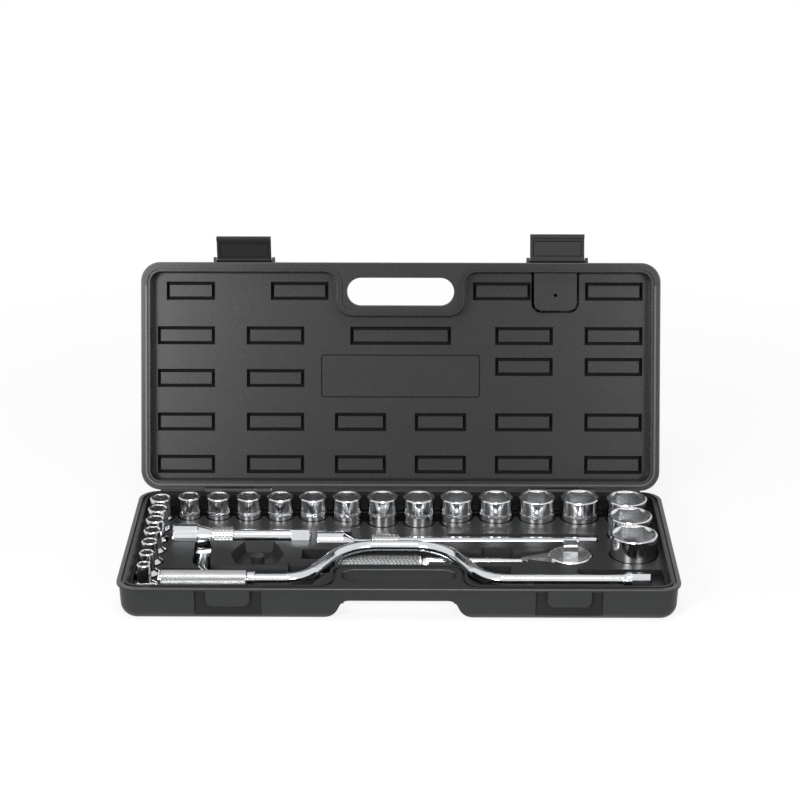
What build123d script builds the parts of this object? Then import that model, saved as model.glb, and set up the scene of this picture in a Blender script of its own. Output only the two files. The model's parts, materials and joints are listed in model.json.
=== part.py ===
"""Half-inch drive socket set in a hinged, blow-moulded carry case, shown open.

Millimetres, +Z up. The origin is the centre of the face that the base stands on, +X runs along the
case towards the large sockets and -Y is the side with the hand hole and the latches.
"""

import math
import os

from build123d import *

# Case outline, base and lid alike; its length and depth follow from the tools it holds
corner_radius = 18.0
base_height = 32.4
lid_height = 27.6
flange_height = 2.4
flange_step = 2.0
wall_draft = 3.0
skin_radius = 13.0
rim_width = 8.5
rim_gap = 0.3
cavity_radius = 10.0
cavity_draft = 5.0

# Seal: a groove in the base rim takes a tongue on the lid rim
lip_width = 2.0
groove_width = 2.8
groove_depth = 2.8
tongue_width = 1.8
tongue_height = 2.2

# Hand hole and the two grip bars in front of it
hand_hole_length = 99.0
hand_hole_width = 25.4
hand_bar_depth = 14.1
hand_bar_height = 12.0
hand_gap_top = 95.4
hand_gap_bottom = 114.4
hand_bay_width = 117.0
hand_bay_wall = 9.5
hand_bay_corner = 14.0
hand_bay_flare = 12.5
hand_gap_corner = 9.0
hand_gap_foot = 22.0
hand_gap_relief = 7.0
hand_gap_slope = 16.0

# Hinge
open_angle = 108.8
hinge_out = 1.0
hinge_drop = 0.78
hinge_inset = 90.0
lid_knuckle_length = 30.0
base_knuckle_length = 15.0
knuckle_radius = 3.9
knuckle_gap = 0.4
hinge_pin_radius = 2.0
pin_play = 0.06
hinge_boss_drop = 14.0
heel_length = 9.0
heel_thickness = 3.2

# Latches
latch_inset = 95.5
latch_width = 50.0
latch_length = 23.8
latch_plate = 1.9
latch_lip_length = 3.5
latch_lip_depth = 2.6
latch_barrel_radius = 2.2
latch_pin_radius = 1.1
latch_out = 2.5
latch_in = 3.2
latch_ear = 3.0
latch_gap = 0.4
latch_seat = 1.4
left_latch_tilt = 26.0
right_latch_tilt = 0.0
catch_channel_width = 57.0
catch_channel_depth = 3.0
catch_width = 37.0
catch_corner = 6.0

# Lid panel with its tack-off pockets
panel_depth = 18.0
tack_depth = 6.0
tack_groove = 2.7
tack_step = 1.0
tack_height = 16.0
tack_width = 52.8
tack_narrow_width = 47.0
tack_wide_width = 93.0
tack_side_margin = 33.2
tack_pitch = 83.3
tack_left_shift = 1.6
tack_middle_x = 37.3
tack_bay_gap = 9.25
tack_corner_trim = 8.4
tack_rows = (17.8, 59.3, 139.8, 179.4)
tack_left_row = 99.1
tack_right_row = 88.0
label_width = 148.0
label_height = 40.0
label_step = 0.8
label_corner = 3.0
label_line = 1.0
pad_gap = 3.35
pad_width = 39.6
pad_length = 35.5
pad_rise = 6.0
pad_corner = 7.0
pad_hole_radius = 1.6
pad_hole_drop = 21.4
pad_ditch = 1.8
pad_ditch_depth = 3.0

# Tray levels
platform_height = 22.0
pocket_floor = 4.0
seat_gap = 0.2

# Sockets
drive_square = 12.7
drive_play = 0.2
socket_height = 38.0
socket_wall = 1.45
large_socket_wall = 2.1
socket_edge = 0.9
mouth_bevel_angle = 30.0
square_depth = 17.0
drive_end_radius = 10.75
drive_end_height = 19.0
shoulder_height = 2.6
pocket_play = 1.0
small_sizes = (14, 13, 12, 11, 10, 9, 8)
row_sizes = (15, 16, 17, 18, 19, 20, 21, 22, 23, 24, 26, 27)
large_sizes = (28, 30, 32)
small_column_margin = 3.25
small_column_shift = 4.0
small_column_gap = 2.3
small_column_front = 7.0
row_margin = 8.86
row_start_gap = 4.94
row_gap = 5.6
large_column_margin = 4.7
large_column_shift = 2.0
large_column_gap = 0.75

# Extension bars
bar_row_gap = 17.7
female_radius = 11.25
knurl_radius = 8.0
bar_radius = 6.25
male_length = 17.0
bar_start_gap = 4.35
bar_between_gap = 5.4
bar_end_gap = 8.65
short_bar_z = 22.5
short_bar_spans = (23.0, 11.0, 0.0, 20.5, 51.5)
long_bar_z = 15.8
long_bar_spans = (24.5, 8.5, 15.5, 25.5, 160.0)
long_neck_radius = 5.2

# Detent balls of the square drives
ball_radius = 2.4
ball_proud = 0.9
ball_play = 0.1
ball_travel = 0.8
square_roll = -18.0

# Bent bar
bent_bar_radius = 6.5
bent_bar_z = 10.5
bent_bar_shift = 28.4
bent_bar_back_gap = 0.75
bent_bar_spacing = 31.0
bent_bar_leg = 112.0
bent_bar_bend = 22.0

# Speed brace
brace_radius = 5.25
brace_z = 26.0
brace_bar_gap = 11.9
brace_throw = 69.6
brace_front_gap = 15.8
brace_start_gap = 0.75
brace_tip_gap = 13.0
brace_grip_span = 124.0
brace_left_run = 35.0
brace_top_run = 87.0
brace_right_run = 34.0
brace_drive_span = 142.0
brace_foot_bend = 30.0
brace_top_bend = 46.0
brace_collar_radius = 7.0
brace_collar_length = 7.5
brace_neck_length = 7.0
brace_swell_radius = 7.2
grip_radius = 8.1
grip_length = 73.0
grip_play = 0.06
grip_end_gap = 0.3
cap_radius = 7.4
cap_length = 2.0
cap_bore_radius = 3.5

# Ratchet
ratchet_brace_shift = 8.4
ratchet_z = 12.3
ratchet_head_gap = 16.1
ratchet_length = 214.5
handle_radius = 8.0
handle_length = 85.0
shank_big_radius = 6.9
shank_small_radius = 5.5
head_radius = 19.0
head_bottom = 8.3
head_top = 22.6
neck_thickness = 10.0
neck_length = 38.0
cover_radius = 15.8
cover_thickness = 1.2
gear_teeth = 24
gear_tip_radius = 10.2
gear_root_radius = 9.1
gear_bottom = 12.0
gear_play = 0.4
journal_radius = 9.0
foot_radius = 4.0
foot_length = 2.5
tang_length = 11.0
tang_edge = 1.2
pawl_offset = 12.4
pawl_bottom = 14.0
pawl_thickness = 5.0
pawl_hub_radius = 1.9
pawl_tip_radius = 9.5
pawl_tip_angle = 30.0
pawl_nose = 4.0
pawl_arm = 2.2
pawl_swing = 17.0
chamber_radius = 14.9
chamber_half_width = 8.0
selector_stem_radius = 1.1
selector_disc_radius = 5.0
selector_thickness = 3.4
selector_reach = 12.0
cover_screw_circle = 12.9
cover_screw_head_radius = 1.5
cover_screw_radius = 0.9
cover_screw_length = 4.5
cover_screw_angle = 133.0
cover_screws = 3

# Empty shaped recess in the tray
recess_shift = 49.0
recess_rise = 31.0
recess_length = 48.0
recess_back_width = 26.4
recess_front_width = 35.0
recess_back = 26.6
recess_front = 22.5
recess_floor = 12.0
recess_tip = 9.0
recess_draft = 14.0
stud_radius = 6.0
stud_height = 6.0
stud_shift = 4.5

# Tray grooves and finger notches
groove_side = 0.5
finger_depth = 5.0
overcut = 1.0
brace_trough_floor = 17.6
brace_groove_width = 15.0
saddle_width = 8.0
saddle_shifts = (38.0, 110.0)
finger_near = 50.0
finger_far = 78.0
finger_end = 22.0
handle_room = 22.0
handle_room_start = 8.0
shank_room = 15.0
bent_finger_near = 15.0
bent_finger_far = 35.0
foot_recess_width = 24.0
foot_recess_reach = 37.0
tip_recess_width = 74.0
tip_recess_reach = 31.0
row_finger_width = 87.0
front_recess_floor = 15.5

parts = {}


def keep(name, builder):
    """Label a finished piece and keep it for export."""
    builder.part.label = name
    parts[name] = builder.part


def corner_radius_of(size):
    """Return the radius over a hexagon's corners."""
    return size / 2 / math.cos(math.pi / 6)


def socket_radius(size, wall):
    """Return a socket's outer radius at its mouth."""
    return corner_radius_of(size) + wall


# Length of the hollow: the longest of the bar line, the socket row and the brace
row_radii = [socket_radius(size, socket_wall) for size in row_sizes]
large_radii = [socket_radius(size, large_socket_wall) for size in large_sizes]
short_length = sum(short_bar_spans) + male_length
long_length = sum(long_bar_spans) + male_length
row_length = 2 * sum(row_radii) + row_gap * (len(row_radii) - 1)
brace_length = brace_grip_span + brace_left_run + brace_top_run + brace_right_run + brace_drive_span
left_end = small_column_margin + 2 * drive_end_radius
right_end = large_column_margin + max(large_radii)
bar_run = bar_start_gap + short_length + bar_between_gap + long_length + bar_end_gap + max(large_radii)
row_run = row_start_gap + row_length + row_gap + large_radii[0]
brace_run = brace_start_gap + brace_length + brace_tip_gap
cavity_length = left_end + max(bar_run + right_end, row_run + right_end, brace_run)

# Depth of the hollow: the deeper of the tools laid behind each other and the column of small sockets
tool_depth = 2 * max(row_radii) + row_margin + bar_row_gap + 2 * female_radius + brace_bar_gap
tool_depth += brace_radius + brace_throw + grip_radius + brace_front_gap
small_column_pitch = 2 * drive_end_radius + small_column_gap
column_depth = row_margin + max(row_radii) + small_column_shift + drive_end_radius + small_column_front
column_depth += small_column_pitch * (len(small_sizes) - 1)
cavity_depth = max(tool_depth, column_depth)
case_length = cavity_length + 2 * rim_width
case_depth = cavity_depth + 2 * rim_width

# Places of the tools in the tray
small_column_x = -cavity_length / 2 + small_column_margin + drive_end_radius
column_edge = small_column_x + drive_end_radius
large_column_x = cavity_length / 2 - right_end
row_x = column_edge + row_start_gap + row_radii[0]
row_y = cavity_depth / 2 - row_margin - max(row_radii)
small_column_y = row_y - small_column_shift
large_column_y = row_y - large_column_shift
bar_line_y = row_y - max(row_radii) - bar_row_gap - female_radius
short_bar_x = column_edge + bar_start_gap
long_bar_x = short_bar_x + short_length + bar_between_gap
brace_throw_y = bar_line_y - female_radius - brace_bar_gap - brace_radius
brace_y = brace_throw_y - brace_throw
brace_end_x = column_edge + brace_start_gap
brace_left_foot_x = brace_end_x + brace_grip_span
brace_left_top_x = brace_left_foot_x + brace_left_run
brace_right_top_x = brace_left_top_x + brace_top_run
brace_right_foot_x = brace_right_top_x + brace_right_run
brace_tip_x = brace_right_foot_x + brace_drive_span
bent_bar_x = short_bar_x + bent_bar_shift
bent_bar_back_y = bar_line_y - female_radius - bent_bar_back_gap
bent_bar_y = brace_y + bent_bar_spacing
bent_bar_end_x = bent_bar_x + bent_bar_leg
ratchet_y = brace_throw_y - ratchet_brace_shift
ratchet_head_x = large_column_x - max(large_radii) - ratchet_head_gap - head_radius
ratchet_end_x = ratchet_head_x - ratchet_length
recess_x = bent_bar_x + recess_shift
recess_y = bent_bar_y + recess_rise

# Places that several pieces share
half_depth = case_depth / 2
hinge_x = case_length / 2 - hinge_inset
latch_x = case_length / 2 - latch_inset
hand_bay_depth = hand_bar_depth + hand_hole_width + hand_bay_wall - rim_width
hand_hole_y = half_depth - hand_bar_depth - hand_hole_width / 2
hinge_y = half_depth + hinge_out
hinge_z = base_height - hinge_drop
lean = math.radians(open_angle - 90)
turn = -math.radians(open_angle)
closed_z = base_height + rim_gap - hinge_z
base_rim = Plane.XY.offset(base_height)
lid_rim = Plane(
    origin=(
        0,
        hinge_y - hinge_y * math.cos(turn) - closed_z * math.sin(turn),
        hinge_z - hinge_y * math.sin(turn) + closed_z * math.cos(turn),
    ),
    x_dir=(1, 0, 0),
    z_dir=(0, -math.cos(lean), math.sin(lean)),
)
lid_hinge_y = -hinge_y
lid_hinge_z = closed_z
latch_pivot_y = half_depth + latch_out


def round_corners(points, radius):
    """Round the corners at the given points of the sketch that is being drawn."""
    corners = []
    for vertex in BuildSketch._get_context().vertices():
        if any(math.hypot(vertex.X - x, vertex.Y - y) < 0.01 for x, y in points):
            corners.append(vertex)
    fillet(corners, radius)


def cavity_outline(front, grow=0.0):
    """Draw the hollow's outline, drawn in round the hand hole, on side front of Y, grown outwards."""
    side = cavity_length / 2 + grow
    end = front * (cavity_depth / 2 + grow)
    bay_side = hand_bay_width / 2 - grow
    bay_end = end - front * hand_bay_depth
    with BuildLine() as outline:
        Polyline(
            (-side, end),
            (-bay_side, end),
            (-bay_side, bay_end),
            (bay_side, bay_end),
            (bay_side, end),
            (side, end),
            (side, -end),
            (-side, -end),
            close=True,
        )
    make_face(outline.edges())
    round_corners([(-side, end), (side, end), (side, -end), (-side, -end)], cavity_radius + grow)
    round_corners([(-bay_side, end), (bay_side, end)], hand_bay_flare + grow)
    round_corners([(-bay_side, bay_end), (bay_side, bay_end)], hand_bay_corner - grow)


def outer_skin(rim, height, front):
    """Add one half's outer skin below its rim plane, with the finger gap under the grip bar."""
    side = Plane(
        origin=rim.from_local_coords((0, front * half_depth, 0)),
        x_dir=rim.x_dir,
        z_dir=rim.y_dir * front,
    )
    with BuildSketch(rim.offset(-flange_height)) as wall:
        RectangleRounded(
            case_length - 2 * flange_step,
            case_depth - 2 * flange_step,
            corner_radius - flange_step,
        )
    extrude(wall.sketch, amount=flange_height - height, taper=wall_draft)
    skin = BuildPart._get_context()
    fillet(skin.edges().group_by(Axis((0, 0, 0), rim.z_dir))[0], skin_radius)
    gap_depth = hand_bar_depth + hand_hole_width
    gap_foot = front * (height + pin_play)
    gap_end = hand_gap_bottom / 2 + 2 * hand_gap_foot
    top = [(side_x * hand_gap_top / 2, front * hand_bar_height) for side_x in (-1, 1)]
    feet = [(side_x * hand_gap_bottom / 2, gap_foot) for side_x in (-1, 1)]
    with BuildSketch(side) as gap:
        with BuildLine():
            Polyline(
                (-gap_end, gap_foot + front * overcut),
                (-gap_end, gap_foot),
                feet[0],
                top[0],
                top[1],
                feet[1],
                (gap_end, gap_foot),
                (gap_end, gap_foot + front * overcut),
                close=True,
            )
        make_face()
        round_corners(top, hand_gap_corner)
        round_corners(feet, hand_gap_foot)
    extrude(gap.sketch, amount=-gap_depth, mode=Mode.SUBTRACT)
    with BuildSketch(
        Plane(
            origin=rim.from_local_coords((-hand_gap_top / 2, 0, 0)),
            x_dir=rim.y_dir,
            z_dir=rim.x_dir,
        )
    ) as relief:
        near = front * (half_depth - gap_depth + overcut)
        with BuildLine():
            Polyline(
                (near, -height - overcut),
                (near, -height + hand_gap_relief),
                (near - front * (hand_gap_slope + overcut), -height - overcut),
                close=True,
            )
        make_face()
    extrude(relief.sketch, amount=hand_gap_top, mode=Mode.SUBTRACT)
    with BuildSketch(rim) as flange:
        RectangleRounded(case_length, case_depth, corner_radius)
    extrude(flange.sketch, amount=-flange_height)
    with BuildSketch(rim) as hole:
        with Locations((0, front * hand_hole_y)):
            SlotOverall(hand_hole_length, hand_hole_width)
    extrude(hole.sketch, amount=-height, mode=Mode.SUBTRACT)


def hollow(plane, front, depth, grow=0.0, taper=0.0, mode=Mode.SUBTRACT):
    """Cut or fill the hollow's outline to a depth below a plane."""
    with BuildSketch(plane) as outline:
        cavity_outline(front, grow)
    extrude(outline.sketch, amount=-depth, taper=taper, mode=mode)


def bar_along_x(x, y, z, radius, length, mode=Mode.ADD):
    """Add or cut a cylinder that runs from x along +X."""
    with Locations(Location((x + length / 2, y, z), (0, 90, 0))):
        Cylinder(radius, length, mode=mode)


def box_between(low, high, mode=Mode.ADD):
    """Add or cut a box given its lowest and highest corners."""
    size = [b - a for a, b in zip(low, high)]
    with Locations(tuple((a + b) / 2 for a, b in zip(low, high))):
        Box(*size, mode=mode)


def pocket(floor, *rectangles):
    """Cut rectangles (x0, y0, x1, y1) out of the tray down to a floor."""
    with BuildSketch(Plane.XY.offset(floor)) as outline:
        for x0, y0, x1, y1 in rectangles:
            with Locations(((x0 + x1) / 2, (y0 + y1) / 2)):
                Rectangle(x1 - x0, y1 - y0)
    extrude(outline.sketch, amount=platform_height + overcut - floor, mode=Mode.SUBTRACT)


def brace_route(z):
    """Draw the brace's centre line at height z, from its left end to the square's shoulder."""
    FilletPolyline(
        (brace_end_x + cap_length, brace_y, z),
        (brace_left_foot_x, brace_y, z),
        (brace_left_top_x, brace_throw_y, z),
        (brace_right_top_x, brace_throw_y, z),
        (brace_right_foot_x, brace_y, z),
        (brace_tip_x - male_length - brace_neck_length, brace_y, z),
        radius=[brace_foot_bend, brace_top_bend, brace_top_bend, brace_foot_bend],
    )


def bent_route(z):
    """Draw the bent bar's centre line at height z, from its square's shoulder to its free end."""
    FilletPolyline(
        (bent_bar_x, bent_bar_back_y - drive_square, z),
        (bent_bar_x, bent_bar_y, z),
        (bent_bar_end_x, bent_bar_y, z),
        radius=bent_bar_bend,
    )


# Where each socket stands: (size, x, y, wall)
sockets = []
for number, size in enumerate(small_sizes):
    y = small_column_y - number * small_column_pitch
    sockets.append((size, small_column_x, y, socket_wall))
x = row_x
for number, size in enumerate(row_sizes):
    if number:
        x += socket_radius(row_sizes[number - 1], socket_wall) + row_gap
        x += socket_radius(size, socket_wall)
    sockets.append((size, x, row_y, socket_wall))
y = large_column_y
for number, size in enumerate(large_sizes):
    if number:
        y -= socket_radius(large_sizes[number - 1], large_socket_wall) + large_column_gap
        y -= socket_radius(size, large_socket_wall)
    sockets.append((size, large_column_x, y, large_socket_wall))


# Base
with BuildPart() as case_base:
    outer_skin(base_rim, base_height, -1)
    hollow(base_rim, -1, groove_depth, lip_width + groove_width)
    hollow(base_rim, -1, groove_depth, lip_width, mode=Mode.ADD)
    hollow(base_rim, -1, base_height - platform_height, taper=cavity_draft)

    # Socket troughs: round seats joined by a slot along the wall
    inset = overcut + 1.5
    trough_back = cavity_depth / 2 - inset
    trough_side = cavity_length / 2 - inset
    with BuildSketch() as tray:
        cavity_outline(-1, -inset)
    with BuildSketch(Plane.XY.offset(pocket_floor)) as troughs:
        for size, sx, sy, wall in sockets:
            radius = drive_end_radius if size in small_sizes else socket_radius(size, wall)
            with Locations((sx, sy)):
                Circle(radius + pocket_play)
        with Locations((0, (row_y + trough_back) / 2)):
            Rectangle(2 * trough_side, trough_back - row_y)
        small_end_y = small_column_y - (len(small_sizes) - 1) * small_column_pitch
        with Locations(((small_column_x - trough_side) / 2, (small_end_y + row_y) / 2)):
            Rectangle(small_column_x + trough_side, row_y - small_end_y)
        large_end_y = sockets[-1][2]
        with Locations(((large_column_x + trough_side) / 2, (large_end_y + row_y) / 2)):
            Rectangle(trough_side - large_column_x, row_y - large_end_y)
        add(tray.sketch_local, mode=Mode.INTERSECT)
    extrude(
        troughs.sketch,
        amount=platform_height + overcut - pocket_floor,
        mode=Mode.SUBTRACT,
    )

    # Extension bars: a wide seat under each female end, a narrow one under the bar
    for start, z, spans in (
        (short_bar_x, short_bar_z, short_bar_spans),
        (long_bar_x, long_bar_z, long_bar_spans),
    ):
        wide = female_radius + groove_side
        narrow = knurl_radius + groove_side
        neck_x = start + spans[0] + spans[1]
        end_x = start + sum(spans) + male_length
        pocket(
            z - female_radius - seat_gap,
            (start - groove_side, bar_line_y - wide, neck_x, bar_line_y + wide),
        )
        pocket(
            z - knurl_radius - seat_gap,
            (neck_x - overcut, bar_line_y - narrow, end_x + groove_side, bar_line_y + narrow),
        )

    # Bent bar, with a finger notch behind its long leg
    bent_side = bent_bar_radius + groove_side + overcut
    with BuildSketch(Plane.XY.offset(bent_bar_z - bent_bar_radius)) as bent_bed:
        with BuildLine() as bent_line:
            bent_route(0)
        trace(bent_line.line, line_width=2 * bent_side)
        with Locations((bent_bar_x, bent_bar_back_y - drive_square / 2)):
            Rectangle(2 * bent_side, drive_square + 2 * overcut)
        with Locations((bent_bar_end_x, bent_bar_y)):
            Rectangle(4 * overcut, 2 * bent_side)
    extrude(
        bent_bed.sketch,
        amount=platform_height + overcut - bent_bar_z + bent_bar_radius,
        mode=Mode.SUBTRACT,
    )
    pocket(
        bent_bar_z - bent_bar_radius + finger_depth,
        (
            bent_bar_end_x - bent_finger_far,
            bent_bar_y,
            bent_bar_end_x - bent_finger_near,
            bent_bar_y + bent_side + finger_depth,
        ),
    )

    # Ratchet: handle groove, flared neck and round head
    groove_half = handle_radius + 2 * overcut
    pocket(
        ratchet_z - handle_radius - seat_gap,
        (ratchet_end_x - finger_end, ratchet_y - groove_half, ratchet_head_x, ratchet_y + groove_half),
    )
    pocket(
        platform_height - 2 * finger_depth,
        (
            ratchet_head_x - finger_far,
            ratchet_y,
            ratchet_head_x - finger_near,
            ratchet_y + groove_half + finger_depth,
        ),
    )
    handle_end_x = ratchet_end_x + handle_length
    pocket(
        ratchet_z - handle_radius - seat_gap,
        (ratchet_end_x + handle_room_start, ratchet_y - handle_room, handle_end_x + finger_depth, ratchet_y),
        (handle_end_x, ratchet_y - shank_room, ratchet_head_x - neck_length, ratchet_y),
    )
    with BuildSketch(Plane.XY.offset(pocket_floor)) as head_seat:
        with Locations((ratchet_head_x, ratchet_y)):
            Circle(head_radius + pocket_play)
        with Locations((ratchet_head_x - neck_length, ratchet_y)):
            Circle(groove_half - overcut)
        make_hull()
    extrude(
        head_seat.sketch,
        amount=platform_height + overcut - pocket_floor,
        mode=Mode.SUBTRACT,
    )

    # Brace: front troughs on both sides of the hand bay and a shallow bed under the crank
    front_wall = cavity_depth / 2 - inset
    bay_side = hand_bay_width / 2 + inset + hand_bay_flare
    pocket(
        brace_trough_floor,
        (brace_end_x - seat_gap, -front_wall, -bay_side, bent_bar_y),
    )
    pocket(
        front_recess_floor,
        (bay_side, -front_wall, trough_side, brace_y + brace_groove_width),
        (bay_side, brace_y, bay_side + foot_recess_width, brace_y + foot_recess_reach),
        (trough_side - tip_recess_width, brace_y, trough_side, brace_y + tip_recess_reach),
    )
    with BuildSketch(Plane.XY.offset(brace_z - brace_radius - 2 * seat_gap)) as crank_bed:
        with BuildLine() as crank_line:
            brace_route(0)
        trace(crank_line.line, line_width=brace_groove_width)
    extrude(crank_bed.sketch, amount=3 * overcut, mode=Mode.SUBTRACT)
    for shift in saddle_shifts:
        sx = brace_right_foot_x + shift
        box_between(
            (sx - saddle_width / 2, -front_wall - overcut, front_recess_floor - overcut),
            (
                sx + saddle_width / 2,
                brace_y + brace_groove_width + overcut,
                brace_z - brace_radius - seat_gap,
            ),
        )

    # Empty recess with its stud, and a finger dip in front of the socket row
    tips = [(recess_x + side * recess_length / 2, recess_y) for side in (-1, 1)]
    with BuildSketch(Plane.XY.offset(platform_height)) as recess:
        with BuildLine():
            Polyline(
                tips[0],
                (recess_x - recess_back_width / 2, recess_y + recess_back),
                (recess_x + recess_back_width / 2, recess_y + recess_back),
                tips[1],
                (recess_x + recess_front_width / 2, recess_y - recess_front),
                (recess_x - recess_front_width / 2, recess_y - recess_front),
                close=True,
            )
        make_face()
        round_corners(tips, recess_tip)
    extrude(
        recess.sketch,
        amount=recess_floor - platform_height,
        taper=recess_draft,
        mode=Mode.SUBTRACT,
    )
    with Locations((recess_x, recess_y + stud_shift, recess_floor + stud_height / 2 - overcut / 2)):
        Cylinder(stud_radius, stud_height + overcut)
    pocket(
        platform_height - finger_depth,
        (-row_finger_width / 2, bar_line_y, row_finger_width / 2, row_y),
    )

    # Latch catches, each standing in a shallow channel of the front wall
    for cx in (-latch_x, latch_x):
        box_between(
            (cx - catch_channel_width / 2, -half_depth - overcut, -overcut),
            (
                cx + catch_channel_width / 2,
                -half_depth + flange_step + catch_channel_depth,
                base_height - flange_height,
            ),
            Mode.SUBTRACT,
        )
        catch_bottom = base_height + rim_gap + latch_in - latch_length + latch_lip_length + rim_gap
        catch_top = base_height - flange_height
        with BuildSketch(Plane(origin=(cx, -half_depth, 0), x_dir=(1, 0, 0), z_dir=(0, -1, 0))) as catch:
            with Locations((0, (catch_bottom + catch_top) / 2)):
                Rectangle(catch_width, catch_top - catch_bottom)
            round_corners([(-catch_width / 2, catch_bottom), (catch_width / 2, catch_bottom)], catch_corner)
        extrude(catch.sketch, amount=-(flange_step + catch_channel_depth + overcut))

    # Hinge: bosses, clearance for the lid's knuckles, the base's own knuckles and pin holes
    for hx in (-hinge_x, hinge_x):
        reach = lid_knuckle_length / 2 + knuckle_gap + base_knuckle_length
        box_between(
            (hx - reach, half_depth - flange_step - 2 * overcut, base_height - hinge_boss_drop),
            (hx + reach, half_depth, base_height - groove_depth),
        )
        bar_along_x(
            hx - lid_knuckle_length / 2 - knuckle_gap,
            hinge_y,
            hinge_z,
            knuckle_radius + knuckle_gap,
            lid_knuckle_length + 2 * knuckle_gap,
            Mode.SUBTRACT,
        )
        for start in (hx - reach, hx + lid_knuckle_length / 2 + knuckle_gap):
            bar_along_x(start, hinge_y, hinge_z, knuckle_radius, base_knuckle_length)
        bar_along_x(hx - reach, hinge_y, hinge_z, hinge_pin_radius + pin_play, 2 * reach, Mode.SUBTRACT)
keep("case_base", case_base)


# Lid
def lid_point(x, y, z):
    """Return a point given in the lid's own frame, in which the rim plane is z = 0."""
    return lid_rim.from_local_coords((x, y, z))


def lid_bar(x, y, z, radius, length, mode=Mode.ADD):
    """Add or cut a cylinder that runs from x along +X, placed in the lid's own frame."""
    centre = lid_point(x + length / 2, y, z)
    bar_along_x(x, centre.Y, centre.Z, radius, length, mode)


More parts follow.
